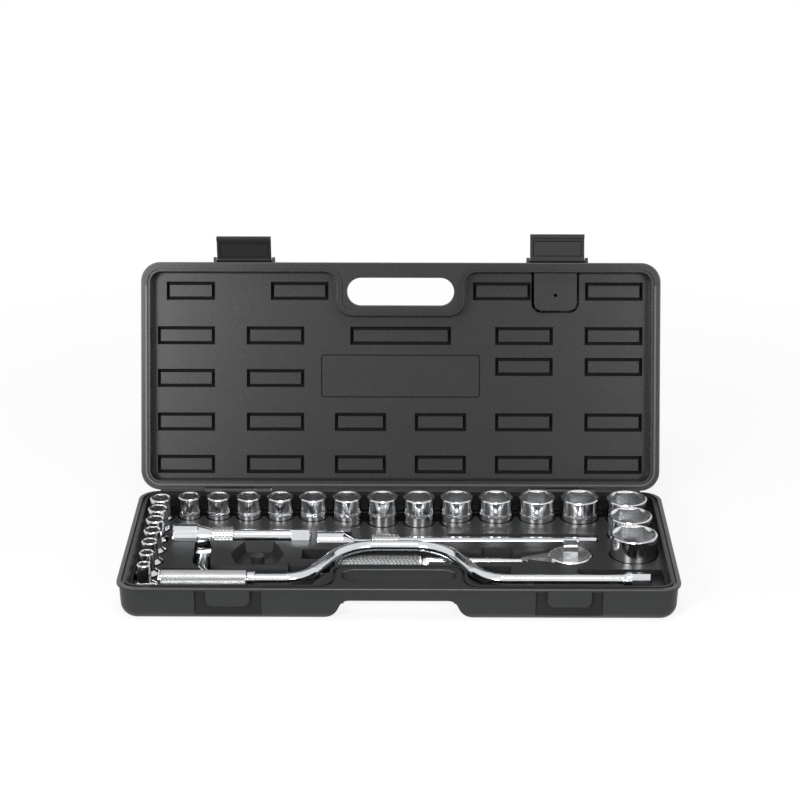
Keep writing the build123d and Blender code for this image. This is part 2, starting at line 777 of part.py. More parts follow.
with BuildPart() as case_lid:
    outer_skin(lid_rim, lid_height, 1)
    tongue_inner = lip_width + (groove_width - tongue_width) / 2
    hollow(lid_rim, 1, -tongue_height, tongue_inner + tongue_width, mode=Mode.ADD)
    hollow(lid_rim, 1, -tongue_height, tongue_inner)
    hollow(lid_rim, 1, panel_depth, taper=cavity_draft)

    # Blow-pin pad standing on the panel against the front wall
    panel = lid_rim.offset(-panel_depth)
    bay_tack_x = hand_bay_width / 2 + tack_bay_gap + tack_width / 2
    pad_x = bay_tack_x + tack_width / 2 + pad_gap + pad_width / 2
    pad_low = cavity_depth / 2 - pad_length
    pad_sides = (pad_x - pad_width / 2, pad_x + pad_width / 2)
    with BuildSketch(panel) as ditch:
        ditch_low = pad_low - pad_ditch
        ditch_high = cavity_depth / 2 - 2 * overcut
        with Locations((pad_x, (ditch_low + ditch_high) / 2)):
            Rectangle(pad_width + 2 * pad_ditch, ditch_high - ditch_low)
        round_corners(
            [(pad_sides[0] - pad_ditch, ditch_low), (pad_sides[1] + pad_ditch, ditch_low)],
            pad_corner + pad_ditch,
        )
    extrude(ditch.sketch, amount=-pad_ditch_depth, mode=Mode.SUBTRACT)
    with BuildSketch(panel.offset(-pad_ditch_depth)) as pad:
        with Locations((pad_x, pad_low + pad_length / 2)):
            Rectangle(pad_width, pad_length)
        round_corners([(pad_sides[0], pad_low), (pad_sides[1], pad_low)], pad_corner)
        with Locations((pad_x, cavity_depth / 2 - pad_hole_drop)):
            Circle(pad_hole_radius, mode=Mode.SUBTRACT)
    extrude(pad.sketch, amount=pad_rise + pad_ditch_depth)

    # Tack-off pockets
    tack_outer_x = cavity_length / 2 - tack_side_margin
    tack_inner_x = tack_outer_x - tack_pitch
    top_y, upper_y, lower_y, bottom_y = [cavity_depth / 2 - drop for drop in tack_rows]
    left_y = cavity_depth / 2 - tack_left_row
    right_y = cavity_depth / 2 - tack_right_row
    pockets = [
        (-tack_outer_x - tack_left_shift + tack_corner_trim / 2, top_y, tack_width - tack_corner_trim),
        (-bay_tack_x, top_y, tack_width),
        (bay_tack_x, top_y, tack_width),
        (tack_outer_x, top_y, tack_width),
        (0, upper_y, tack_wide_width),
    ]
    for px in (tack_inner_x, tack_outer_x):
        left_x = -px - tack_left_shift
        pockets += [(left_x, left_y, tack_width), (px, right_y, tack_width)]
        for py in (upper_y, lower_y, bottom_y):
            pockets += [(left_x, py, tack_width), (px, py, tack_width)]
    for py in (lower_y, bottom_y):
        for px in (-tack_middle_x, tack_middle_x):
            pockets.append((px, py, tack_narrow_width))
    with BuildSketch(panel) as frames:
        for px, py, width in pockets:
            with Locations((px, py)):
                Rectangle(width, tack_height)
                Rectangle(width - 2 * tack_groove, tack_height - 2 * tack_groove, mode=Mode.SUBTRACT)
    extrude(frames.sketch, amount=-tack_depth, mode=Mode.SUBTRACT)
    with BuildSketch(panel) as tacks:
        for px, py, width in pockets:
            with Locations((px, py)):
                Rectangle(width - 2 * tack_groove, tack_height - 2 * tack_groove)
    extrude(tacks.sketch, amount=-tack_step, mode=Mode.SUBTRACT)

    # Fine line round the plain place for a label
    with BuildSketch(panel) as label:
        RectangleRounded(label_width, label_height, label_corner)
        RectangleRounded(
            label_width - 2 * label_line,
            label_height - 2 * label_line,
            label_corner - label_line,
            mode=Mode.SUBTRACT,
        )
    extrude(label.sketch, amount=-label_step, mode=Mode.SUBTRACT)

    # Latch ears on the front edge
    for cx in (-latch_x, latch_x):
        for side in (-1, 1):
            ear_x = cx + side * (latch_width / 2 + latch_gap + latch_ear / 2) - latch_ear / 2
            with BuildSketch(
                Plane(origin=lid_point(ear_x, 0, 0), x_dir=lid_rim.y_dir, z_dir=lid_rim.x_dir)
            ) as ear:
                with Locations((latch_pivot_y, -latch_in)):
                    Circle(latch_barrel_radius)
                with Locations((half_depth - flange_step - overcut, -latch_in)):
                    Circle(latch_barrel_radius)
                with Locations((half_depth - flange_step - overcut, -3 * latch_in)):
                    Circle(latch_barrel_radius)
                make_hull()
                with Locations((latch_pivot_y, -latch_in)):
                    Circle(latch_pin_radius + pin_play, mode=Mode.SUBTRACT)
            extrude(ear.sketch, amount=latch_ear)
        seat_root = half_depth - flange_step - overcut
        seat_top = -latch_in - latch_barrel_radius - latch_gap
        seat_plane = Plane(
            origin=lid_point(cx - latch_width / 2 - latch_gap, 0, 0),
            x_dir=lid_rim.y_dir,
            z_dir=lid_rim.x_dir,
        )
        with BuildSketch(seat_plane) as seat:
            with BuildLine():
                Polyline(
                    (seat_root, seat_top),
                    (latch_pivot_y, seat_top),
                    (latch_pivot_y, seat_top - latch_seat),
                    (seat_root, seat_top - 2 * latch_seat),
                    close=True,
                )
            make_face()
        extrude(seat.sketch, amount=latch_width + 2 * latch_gap)

    # Hinge: clearance for the base's knuckles, the lid's own knuckle with its stop heel, pin hole
    for hx in (-hinge_x, hinge_x):
        half = lid_knuckle_length / 2
        for start in (hx - half - 2 * knuckle_gap - base_knuckle_length, hx + half):
            lid_bar(
                start,
                lid_hinge_y,
                lid_hinge_z,
                knuckle_radius + knuckle_gap,
                base_knuckle_length + 2 * knuckle_gap,
                Mode.SUBTRACT,
            )
        bar_along_x(hx - half, hinge_y, hinge_z, knuckle_radius, lid_knuckle_length)
        box_between(
            (hx - half, half_depth + rim_gap, hinge_z - heel_length),
            (hx + half, half_depth + rim_gap + heel_thickness, hinge_z),
        )
        bar_along_x(
            hx - half - overcut,
            hinge_y,
            hinge_z,
            hinge_pin_radius + pin_play,
            lid_knuckle_length + 2 * overcut,
            Mode.SUBTRACT,
        )
keep("case_lid", case_lid)

with BuildPart() as hinge_pins:
    reach = lid_knuckle_length / 2 + knuckle_gap + base_knuckle_length
    for hx in (-hinge_x, hinge_x):
        bar_along_x(hx - reach, hinge_y, hinge_z, hinge_pin_radius, 2 * reach)
keep("hinge_pins", hinge_pins)


# Latch flaps, each on a pin through the lid's ears
def latch_plane(cx, tilt):
    """Return the frame of a flap: X along the pin, Y towards its lip, Z towards the case."""
    angle = math.radians(tilt)
    return Plane(
        origin=lid_point(cx, latch_pivot_y, -latch_in),
        x_dir=(1, 0, 0),
        z_dir=lid_rim.z_dir * math.cos(angle) - lid_rim.y_dir * math.sin(angle),
    )


for name, cx, tilt in (
    ("latch_left", -latch_x, left_latch_tilt),
    ("latch_right", latch_x, right_latch_tilt),
):
    flap_plane = latch_plane(cx, tilt)
    section_plane = Plane(
        origin=flap_plane.from_local_coords((-latch_width / 2, 0, 0)),
        x_dir=flap_plane.y_dir,
        z_dir=flap_plane.x_dir,
    )
    with BuildPart() as latch:
        with BuildSketch(section_plane) as section:
            Circle(latch_barrel_radius)
            with BuildLine():
                Polyline(
                    (0, 0),
                    (latch_length, 0),
                    (latch_length, latch_plate + latch_lip_depth),
                    (latch_length - latch_lip_length, latch_plate + latch_lip_depth),
                    (latch_length - latch_lip_length, latch_plate),
                    (0, latch_plate),
                    close=True,
                )
            make_face()
            Circle(latch_pin_radius + pin_play, mode=Mode.SUBTRACT)
        extrude(amount=latch_width)
        free_end = latch.edges().filter_by(Axis.X).group_by(Axis((0, 0, 0), flap_plane.y_dir))[-1]
        fillet(free_end, 1.0)
    keep(name, latch)

with BuildPart() as latch_pins:
    pin_length = latch_width + 2 * (latch_gap + latch_ear)
    for cx in (-latch_x, latch_x):
        lid_bar(cx - pin_length / 2, latch_pivot_y, -latch_in, latch_pin_radius, pin_length)
keep("latch_pins", latch_pins)


# Sockets: hexagon mouth up, square drive end down
for size, sx, sy, wall in sockets:
    mouth = socket_radius(size, wall)
    stepped = size in small_sizes
    corner = corner_radius_of(size)
    bevel = corner - size / 2 + socket_edge / 3
    with BuildPart() as socket:
        with BuildSketch(Plane(origin=(sx, sy, pocket_floor), x_dir=(1, 0, 0), z_dir=(0, -1, 0))):
            with BuildLine():
                if stepped:
                    Polyline(
                        (0, 0),
                        (drive_end_radius, 0),
                        (drive_end_radius, drive_end_height),
                        (mouth, drive_end_height + shoulder_height),
                        (mouth, socket_height - socket_edge),
                        (mouth - socket_edge, socket_height),
                        (0, socket_height),
                        close=True,
                    )
                else:
                    Polyline(
                        (0, 0),
                        (mouth, 0),
                        (mouth, socket_height - socket_edge),
                        (mouth - socket_edge, socket_height),
                        (0, socket_height),
                        close=True,
                    )
            make_face()
        revolve(axis=Axis((sx, sy, 0), (0, 0, 1)))
        with BuildSketch(Plane((sx, sy, pocket_floor + square_depth))):
            RegularPolygon(size / 2, 6, major_radius=False)
        extrude(amount=socket_height - square_depth, mode=Mode.SUBTRACT)
        with BuildSketch(Plane((sx, sy, pocket_floor))):
            Rectangle(drive_square + drive_play, drive_square + drive_play)
        extrude(amount=square_depth, mode=Mode.SUBTRACT)
        bevel_height = bevel * math.tan(math.radians(mouth_bevel_angle))
        with Locations((sx, sy, pocket_floor + socket_height - bevel_height / 2)):
            Cone(size / 2, size / 2 + bevel, bevel_height, mode=Mode.SUBTRACT)
    keep(f"socket_{size:02d}", socket)


# Square drive ends
ball_side = (0, math.cos(math.radians(square_roll)), math.sin(math.radians(square_roll)))


def square_end(x, y, z, length):
    """Add a square that runs from x along +X, rolled on its axis, with the ball's pocket in one flat."""
    with BuildSketch(Plane(origin=(x, y, z), x_dir=(0, 1, 0), z_dir=(1, 0, 0))) as square:
        Rectangle(drive_square, drive_square, rotation=square_roll)
    extrude(square.sketch, amount=length)
    builder = BuildPart._get_context()
    chamfer(builder.faces().sort_by(Axis.X)[-1].edges(), tang_edge)
    depth = 2 * ball_radius + ball_travel
    middle = (drive_square - depth) / 2
    centre = (x + length / 2, y + ball_side[1] * middle, z + ball_side[2] * middle)
    with Locations(Location(centre, (90 + square_roll, 0, 0))):
        Cylinder(ball_radius + ball_play, depth, mode=Mode.SUBTRACT)


def drive_ball(name, x, y, z, direction):
    """Make a detent ball that stands proud of a square's flat in the given direction."""
    reach = drive_square / 2 + ball_proud - ball_radius
    with BuildPart() as ball:
        with Locations((x + direction[0] * reach, y + direction[1] * reach, z + direction[2] * reach)):
            Sphere(ball_radius)
    keep(name, ball)


# Extension bars
for name, start, z, spans, neck_radius in (
    ("extension_short", short_bar_x, short_bar_z, short_bar_spans, knurl_radius),
    ("extension_long", long_bar_x, long_bar_z, long_bar_spans, long_neck_radius),
):
    female, cone, neck, knurl, shaft = spans
    neck_x = start + female + cone
    knurl_x = neck_x + neck
    shaft_x = knurl_x + knurl
    male_x = shaft_x + shaft
    edge = socket_edge
    with BuildPart() as extension:
        with BuildSketch(Plane(origin=(0, bar_line_y, z), x_dir=(1, 0, 0), z_dir=(0, -1, 0))):
            with BuildLine():
                outline = [
                    (start, 0),
                    (start, female_radius - edge),
                    (start + edge, female_radius),
                    (start + female - edge, female_radius),
                    (start + female, female_radius - edge),
                    (neck_x, neck_radius - edge),
                ]
                if neck:
                    outline.append((knurl_x - edge, neck_radius - edge))
                outline += [
                    (knurl_x + edge, knurl_radius),
                    (shaft_x - edge, knurl_radius),
                    (shaft_x, bar_radius),
                    (male_x, bar_radius),
                    (male_x, 0),
                ]
                Polyline(*outline, close=True)
            make_face()
        revolve(axis=Axis((0, bar_line_y, z), (1, 0, 0)))
        square_end(male_x, bar_line_y, z, male_length)
        with BuildSketch(Plane(origin=(start, bar_line_y, z), x_dir=(0, 1, 0), z_dir=(1, 0, 0))) as drive:
            Rectangle(drive_square + drive_play, drive_square + drive_play)
        extrude(drive.sketch, amount=male_length, mode=Mode.SUBTRACT)
    keep(name, extension)
    drive_ball(f"{name}_ball", male_x + male_length / 2, bar_line_y, z, ball_side)


# Bent bar
with BuildPart() as bent_bar:
    with BuildLine() as bent_axis:
        bent_route(bent_bar_z)
    with BuildSketch(Plane(origin=bent_axis.line @ 0, z_dir=bent_axis.line % 0)):
        Circle(bent_bar_radius)
    sweep(path=bent_axis.line)
    chamfer(bent_bar.faces().sort_by(Axis.X)[-1].edges(), tang_edge)
    with BuildSketch(
        Plane(
            origin=(bent_bar_x, bent_bar_back_y - drive_square, bent_bar_z),
            x_dir=(1, 0, 0),
            z_dir=(0, 1, 0),
        )
    ):
        Rectangle(drive_square, drive_square)
    extrude(amount=drive_square)
    chamfer(bent_bar.faces().sort_by(Axis.Y)[-1].edges(), tang_edge)
    ball_depth = 2 * ball_radius + ball_travel
    with Locations(
        Location(
            (
                bent_bar_x - (drive_square - ball_depth) / 2,
                bent_bar_back_y - drive_square / 2,
                bent_bar_z,
            ),
            (0, 90, 0),
        )
    ):
        Cylinder(ball_radius + ball_play, ball_depth, mode=Mode.SUBTRACT)
keep("bent_bar", bent_bar)
drive_ball("bent_bar_ball", bent_bar_x, bent_bar_back_y - drive_square / 2, bent_bar_z, (-1, 0, 0))


# Speed brace: crank with its square, loose grip sleeve, collar and end cap
with BuildPart() as brace_crank:
    with BuildLine() as brace_line:
        brace_route(brace_z)
    with BuildSketch(Plane(origin=brace_line.line @ 0, z_dir=brace_line.line % 0)):
        Circle(brace_radius)
    sweep(path=brace_line.line)
    swell_x = brace_tip_x - male_length - brace_neck_length
    with BuildSketch(Plane(origin=(0, brace_y, brace_z), x_dir=(1, 0, 0), z_dir=(0, -1, 0))) as swell:
        with BuildLine():
            Polyline(
                (swell_x - overcut, 0),
                (swell_x - overcut, brace_radius),
                (swell_x + brace_neck_length / 2, brace_swell_radius),
                (swell_x + brace_neck_length, brace_swell_radius),
                (swell_x + brace_neck_length, 0),
                close=True,
            )
        make_face()
    revolve(swell.sketch, axis=Axis((0, brace_y, brace_z), (1, 0, 0)))
    bar_along_x(brace_end_x, brace_y, brace_z, cap_bore_radius, cap_length)
    square_end(brace_tip_x - male_length, brace_y, brace_z, male_length)
keep("brace_crank", brace_crank)
drive_ball("brace_ball", brace_tip_x - male_length / 2, brace_y, brace_z, ball_side)


def sleeve(name, x, length, radius, bore, edge):
    """Make a bevelled tube on the brace's grip line."""
    with BuildPart() as tube:
        bar_along_x(x, brace_y, brace_z, radius, length)
        chamfer(tube.edges().filter_by(GeomType.CIRCLE), edge)
        bar_along_x(x, brace_y, brace_z, bore, length, Mode.SUBTRACT)
    keep(name, tube)


grip_x = brace_end_x + cap_length + grip_end_gap
collar_x = grip_x + grip_length + grip_end_gap
sleeve("brace_grip", grip_x, grip_length, grip_radius, brace_radius + grip_play, socket_edge)
sleeve(
    "brace_collar",
    collar_x,
    brace_collar_length,
    brace_collar_radius,
    brace_radius + pin_play,
    socket_edge,
)
sleeve("brace_end_cap", brace_end_x, cap_length, cap_radius, cap_bore_radius + pin_play, 0.5)


# Ratchet
pawl_x = ratchet_head_x - pawl_offset
cover_bottom = head_top - cover_thickness
with BuildPart() as ratchet_body:
    shank_x = ratchet_end_x + handle_length
    neck_x = ratchet_head_x - neck_length
    with BuildSketch(Plane(origin=(0, ratchet_y, ratchet_z), x_dir=(1, 0, 0), z_dir=(0, -1, 0))):
        with BuildLine():
            Polyline(
                (ratchet_end_x, 0),
                (ratchet_end_x, handle_radius - 2 * socket_edge),
                (ratchet_end_x + 2 * socket_edge, handle_radius),
                (shank_x - 2 * socket_edge, handle_radius),
                (shank_x, shank_big_radius - socket_edge),
                (shank_x + 4 * socket_edge, shank_big_radius),
                (neck_x, shank_small_radius),
                (neck_x, 0),
                close=True,
            )
        make_face()
    revolve(axis=Axis((0, ratchet_y, ratchet_z), (1, 0, 0)))
    with BuildSketch(Plane.XY.offset(head_bottom)) as neck_plan:
        with Locations((ratchet_head_x, ratchet_y)):
            Circle(head_radius - socket_edge)
        with Locations((neck_x, ratchet_y)):
            Circle(shank_small_radius)
        make_hull()
    extrude(amount=neck_thickness)
    with Locations((ratchet_head_x, ratchet_y, (head_bottom + head_top) / 2)):
        Cylinder(head_radius, head_top - head_bottom)
    chamfer(ratchet_body.faces().sort_by(Axis.Z)[-1].edges(), socket_edge)
    with Locations((ratchet_head_x, ratchet_y, head_top - cover_thickness / 2)):
        Cylinder(cover_radius + pin_play, cover_thickness, mode=Mode.SUBTRACT)
    with BuildSketch(Plane.XY.offset(gear_bottom - seat_gap)) as chamber:
        with Locations((ratchet_head_x, ratchet_y)):
            Circle(chamber_radius)
        with Locations((ratchet_head_x - chamber_radius / 2 - 3, ratchet_y)):
            Rectangle(chamber_radius, 2 * chamber_half_width, mode=Mode.INTERSECT)
        with Locations((ratchet_head_x, ratchet_y)):
            Circle(gear_tip_radius + gear_play)
    extrude(amount=cover_bottom - gear_bottom + seat_gap, mode=Mode.SUBTRACT)
    with Locations((ratchet_head_x, ratchet_y, gear_bottom - foot_length / 2)):
        Cylinder(foot_radius + pin_play, foot_length + 2 * seat_gap, mode=Mode.SUBTRACT)
    with Locations((pawl_x, ratchet_y, gear_bottom - overcut)):
        Cylinder(selector_stem_radius + pin_play, 4 * foot_length, mode=Mode.SUBTRACT)
    with Locations((ratchet_head_x, ratchet_y, cover_bottom - cover_screw_length / 2)):
        with PolarLocations(cover_screw_circle, cover_screws, cover_screw_angle):
            Cylinder(cover_screw_radius + pin_play, cover_screw_length + pin_play, mode=Mode.SUBTRACT)
keep("ratchet_body", ratchet_body)

with BuildPart() as ratchet_cover:
    with BuildSketch(Plane((ratchet_head_x, ratchet_y, cover_bottom))):
        Circle(cover_radius)
        Circle(journal_radius + pin_play, mode=Mode.SUBTRACT)
        with PolarLocations(cover_screw_circle, cover_screws, cover_screw_angle):
            Circle(cover_screw_head_radius + pin_play, mode=Mode.SUBTRACT)
    extrude(amount=cover_thickness)
keep("ratchet_cover", ratchet_cover)

with BuildPart() as ratchet_cover_screws:
    with Locations((ratchet_head_x, ratchet_y, cover_bottom)):
        with PolarLocations(cover_screw_circle, cover_screws, cover_screw_angle):
            with Locations((0, 0, cover_thickness / 2)):
                Cylinder(cover_screw_head_radius, cover_thickness)
            with Locations((0, 0, -cover_screw_length / 2)):
                Cylinder(cover_screw_radius, cover_screw_length)
keep("ratchet_cover_screws", ratchet_cover_screws)

with BuildPart() as ratchet_gear:
    with BuildSketch(Plane((ratchet_head_x, ratchet_y, gear_bottom))):
        with BuildLine():
            pitch = 2 * math.pi / gear_teeth
            flank = (
                (gear_root_radius, -0.44),
                (gear_tip_radius, -0.08),
                (gear_tip_radius, 0.08),
                (gear_root_radius, 0.44),
            )
            rim = []
            for tooth in range(gear_teeth):
                for radius, share in flank:
                    angle = (tooth + 0.5 + share) * pitch
                    rim.append((radius * math.cos(angle), radius * math.sin(angle)))
            Polyline(*rim, close=True)
        make_face()
    extrude(amount=cover_bottom - seat_gap - gear_bottom)
    with Locations((ratchet_head_x, ratchet_y, gear_bottom - foot_length / 2)):
        Cylinder(foot_radius, foot_length)
    with Locations((ratchet_head_x, ratchet_y, (cover_bottom - overcut + head_top) / 2)):
        Cylinder(journal_radius, head_top - cover_bottom + overcut)
    with BuildSketch(Plane((ratchet_head_x, ratchet_y, head_top))):
        Rectangle(drive_square, drive_square)
    extrude(amount=tang_length)
    chamfer(ratchet_gear.faces().sort_by(Axis.Z)[-1].edges(), tang_edge)
    ball_depth = 2 * ball_radius + ball_travel
    with Locations(
        Location(
            (ratchet_head_x + (drive_square - ball_depth) / 2, ratchet_y, head_top + tang_length / 2),
            (0, 90, 0),
        )
    ):
        Cylinder(ball_radius + ball_play, ball_depth, mode=Mode.SUBTRACT)
keep("ratchet_gear", ratchet_gear)
drive_ball("ratchet_ball", ratchet_head_x, ratchet_y, head_top + tang_length / 2, (1, 0, 0))

# Each arm of the pawl ends in a tooth that points at the gear's centre; in the middle both are out
def pawl_point(radius, angle, side):
    """Return a point given round the gear's centre, seen from the pawl's pivot, for one of its arms."""
    x = pawl_offset - radius * math.cos(math.radians(angle))
    y = radius * math.sin(math.radians(angle))
    turned = side * math.radians(pawl_swing / 2)
    return (
        x * math.cos(turned) - side * y * math.sin(turned),
        x * math.sin(turned) + side * y * math.cos(turned),
    )


with BuildPart() as ratchet_pawl:
    with BuildSketch(Plane((pawl_x, ratchet_y, pawl_bottom))):
        Circle(pawl_hub_radius)
        clear_radius = gear_tip_radius + gear_play
        for side in (1, -1):
            with BuildLine():
                Polyline(
                    pawl_point(pawl_offset + pawl_arm / 2, 0, side),
                    pawl_point(clear_radius + pawl_arm, pawl_tip_angle / 2, side),
                    pawl_point(clear_radius + pawl_arm, pawl_tip_angle - pawl_nose, side),
                    pawl_point(clear_radius, pawl_tip_angle + pawl_nose, side),
                    pawl_point(pawl_tip_radius, pawl_tip_angle, side),
                    pawl_point(clear_radius, pawl_tip_angle - pawl_nose, side),
                    pawl_point(clear_radius + pawl_arm / 4, pawl_tip_angle / 3, side),
                    pawl_point(pawl_offset - pawl_arm / 2, 0, side),
                    close=True,
                )
            make_face()
        Circle(selector_stem_radius + pin_play, mode=Mode.SUBTRACT)
    extrude(amount=pawl_thickness)
keep("ratchet_pawl", ratchet_pawl)

with BuildPart() as ratchet_selector:
    with BuildSketch(Plane((pawl_x, ratchet_y, head_bottom - seat_gap))):
        Circle(selector_disc_radius)
        with Locations((-selector_reach, 0)):
            Circle(selector_disc_radius / 2)
        make_hull()
    extrude(amount=-selector_thickness)
    stem_top = pawl_bottom + pawl_thickness
    stem_bottom = head_bottom - seat_gap - overcut
    with Locations((pawl_x, ratchet_y, (stem_top + stem_bottom) / 2)):
        Cylinder(selector_stem_radius, stem_top - stem_bottom)
keep("ratchet_selector", ratchet_selector)


os.makedirs("parts", exist_ok=True)
for name, part in parts.items():
    export_step(part, f"parts/{name}.step")
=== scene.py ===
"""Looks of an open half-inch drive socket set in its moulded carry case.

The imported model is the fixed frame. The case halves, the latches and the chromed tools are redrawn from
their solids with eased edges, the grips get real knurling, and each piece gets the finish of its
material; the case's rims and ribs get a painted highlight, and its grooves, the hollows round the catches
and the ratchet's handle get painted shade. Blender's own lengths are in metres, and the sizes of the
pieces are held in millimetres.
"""

import json
import logging
import math
from dataclasses import dataclass
from enum import Enum
from typing import Any, Callable, Iterable

import bpy
from bpy.types import Material, MeshEdge, MeshPolygon, MeshVertex, Node, NodeSocket, NodeTree, Object
from mathutils import Matrix, Vector


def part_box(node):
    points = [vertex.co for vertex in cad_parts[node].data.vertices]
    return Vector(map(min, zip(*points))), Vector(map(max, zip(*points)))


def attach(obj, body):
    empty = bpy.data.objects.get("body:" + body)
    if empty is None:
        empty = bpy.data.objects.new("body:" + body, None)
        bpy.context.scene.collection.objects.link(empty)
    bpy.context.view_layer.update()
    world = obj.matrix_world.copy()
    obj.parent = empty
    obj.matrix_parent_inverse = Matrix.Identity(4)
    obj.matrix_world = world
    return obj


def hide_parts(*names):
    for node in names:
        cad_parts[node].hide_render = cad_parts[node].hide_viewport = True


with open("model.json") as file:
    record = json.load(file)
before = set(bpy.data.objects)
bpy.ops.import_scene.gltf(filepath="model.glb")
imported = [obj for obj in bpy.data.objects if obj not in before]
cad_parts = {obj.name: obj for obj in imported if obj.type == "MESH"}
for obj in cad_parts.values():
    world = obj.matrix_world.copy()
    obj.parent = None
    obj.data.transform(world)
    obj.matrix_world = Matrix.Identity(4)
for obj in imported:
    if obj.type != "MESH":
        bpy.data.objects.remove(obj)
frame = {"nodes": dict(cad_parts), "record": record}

LOG = logging.getLogger("socket_set")
MM = 0.001
# Levels that differ by less than this are one level.
LEVEL_SLACK_MM = 0.02
# Cosines between a face's normal and a direction: square to it, roughly so, leaning, a wall along it.
SQUARE = 0.98
ROUGHLY_SQUARE = 0.9
LEANING = 0.5
WALL = 0.2
# The part of its range that a noise pattern mostly stays in.
NOISE_SPAN = (0.3, 0.7)


class Slot(Enum):
    """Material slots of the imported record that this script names."""

    KNURL = "knurled_chrome"
    STEEL = "bare_steel"
    CASE = "case_plastic"
    LEVER = "black_lever"


def linear(hex_colour: str) -> tuple[float, float, float, float]:
    """Turn an sRGB hex colour into linear RGBA.

    Args:
        hex_colour: Six hex digits after a hash sign.

    Returns:
        Linear red, green, blue and an alpha of one.
    """
    channels = [int(hex_colour[i : i + 2], 16) / 255 for i in (1, 3, 5)]
    curve = [c / 12.92 if c <= 0.04045 else ((c + 0.055) / 1.055) ** 2.4 for c in channels]
    return (curve[0], curve[1], curve[2], 1.0)


def per_mm(size_mm: float) -> float:
    """Return the texture scale at which one feature of a pattern is size_mm wide."""
    return 1 / (size_mm * MM)


def add_node(tree: NodeTree, kind: str, inputs: dict[Any, Any], **settings: Any) -> Node:
    """Add a node with its settings, constants and links.

    Args:
        tree: Node tree that gets the node.
        kind: Blender's name of the node type.
        inputs: Input name or number to a constant, or to an output socket that is linked to it.
        settings: Properties set on the node itself.

    Returns:
        The new node.
    """
    node = tree.nodes.new(kind)
    for name, value in settings.items():
        setattr(node, name, value)
    for key, value in inputs.items():
        if isinstance(value, NodeSocket):
            tree.links.new(value, node.inputs[key])
        else:
            node.inputs[key].default_value = value
    return node


def blank_material(name: str) -> tuple[Material, NodeTree]:
    """Return a new material with an empty node tree, and that tree."""
    material = bpy.data.materials.new(name)
    material.use_nodes = True
    material.node_tree.nodes.clear()
    return material, material.node_tree


@dataclass(frozen=True)
class Finish:
    """What the finishes share: a name, a roughness, and two colours that drift into each other."""

    name: str
    colour: str
    drift_colour: str
    roughness: float

    def skin(self) -> Material:
        """Return the material of this finish, which is built when it is first asked for.

        Returns:
            The one material of this name.
        """
        if self.name in bpy.data.materials:
            return bpy.data.materials[self.name]
        material, tree = blank_material(self.name)
        place = add_node(tree, "ShaderNodeTexCoord", {}).outputs["Object"]
        shader = add_node(tree, "ShaderNodeBsdfPrincipled", self.surface(tree, place))
        add_node(tree, "ShaderNodeOutputMaterial", {"Surface": shader.outputs["BSDF"]})
        return material

    def surface(self, tree: NodeTree, place: NodeSocket) -> dict[str, Any]:
        """Add the patterns, which start from a place on the piece, and return the shader's inputs."""
        raise NotImplementedError

    def drift(self, tree: NodeTree, noise: NodeSocket) -> NodeSocket:
        """Return the colour that drifts with a noise; 6, 7 and 2 are the node's colour sockets."""
        colours = {"Factor": noise, 6: linear(self.colour), 7: linear(self.drift_colour)}
        return add_node(tree, "ShaderNodeMix", colours, data_type="RGBA").outputs[2]


@dataclass(frozen=True)
class MouldedPolyethylene(Finish):
    """Blow-moulded plastic: a sparked grain that breaks up a low, wide gloss.

    The case's real grain is a few tenths of a millimetre, too fine to show, and is drawn coarser.
    """

    shine: float = 0.25
    grain_mm: float = 1.8
    grain_height_mm: float = 0.022
    grain_strength: float = 0.5
    cloud_mm: float = 38.0
    glossier: float = 0.06
    duller: float = 0.08
    ior: float = 1.51

    def surface(self, tree: NodeTree, place: NodeSocket) -> dict[str, Any]:
        """Add clouds to the colour, and grain to the gloss and the relief.

        Args:
            tree: The material's nodes.
            place: Place on the piece.

        Returns:
            The shader's inputs.
        """
        clouds = {"Vector": place, "Scale": per_mm(self.cloud_mm), "Detail": 3.0}
        cloud = add_node(tree, "ShaderNodeTexNoise", clouds).outputs["Fac"]
        sparks = {"Vector": place, "Scale": per_mm(self.grain_mm), "Detail": 2.0, "Roughness": 0.6}
        grain = add_node(tree, "ShaderNodeTexNoise", sparks).outputs["Fac"]
        limits = {"To Min": self.roughness - self.glossier, "To Max": self.roughness + self.duller}
        gloss = add_node(tree, "ShaderNodeMapRange", {"Value": grain, **limits})
        relief = {"Strength": self.grain_strength, "Distance": self.grain_height_mm * MM, "Height": grain}
        bump = add_node(tree, "ShaderNodeBump", relief)
        return {
            "Base Color": self.drift(tree, cloud),
            "Roughness": gloss.outputs["Result"],
            "Normal": bump.outputs["Normal"],
            "IOR": self.ior,
            "Specular IOR Level": self.shine,
        }


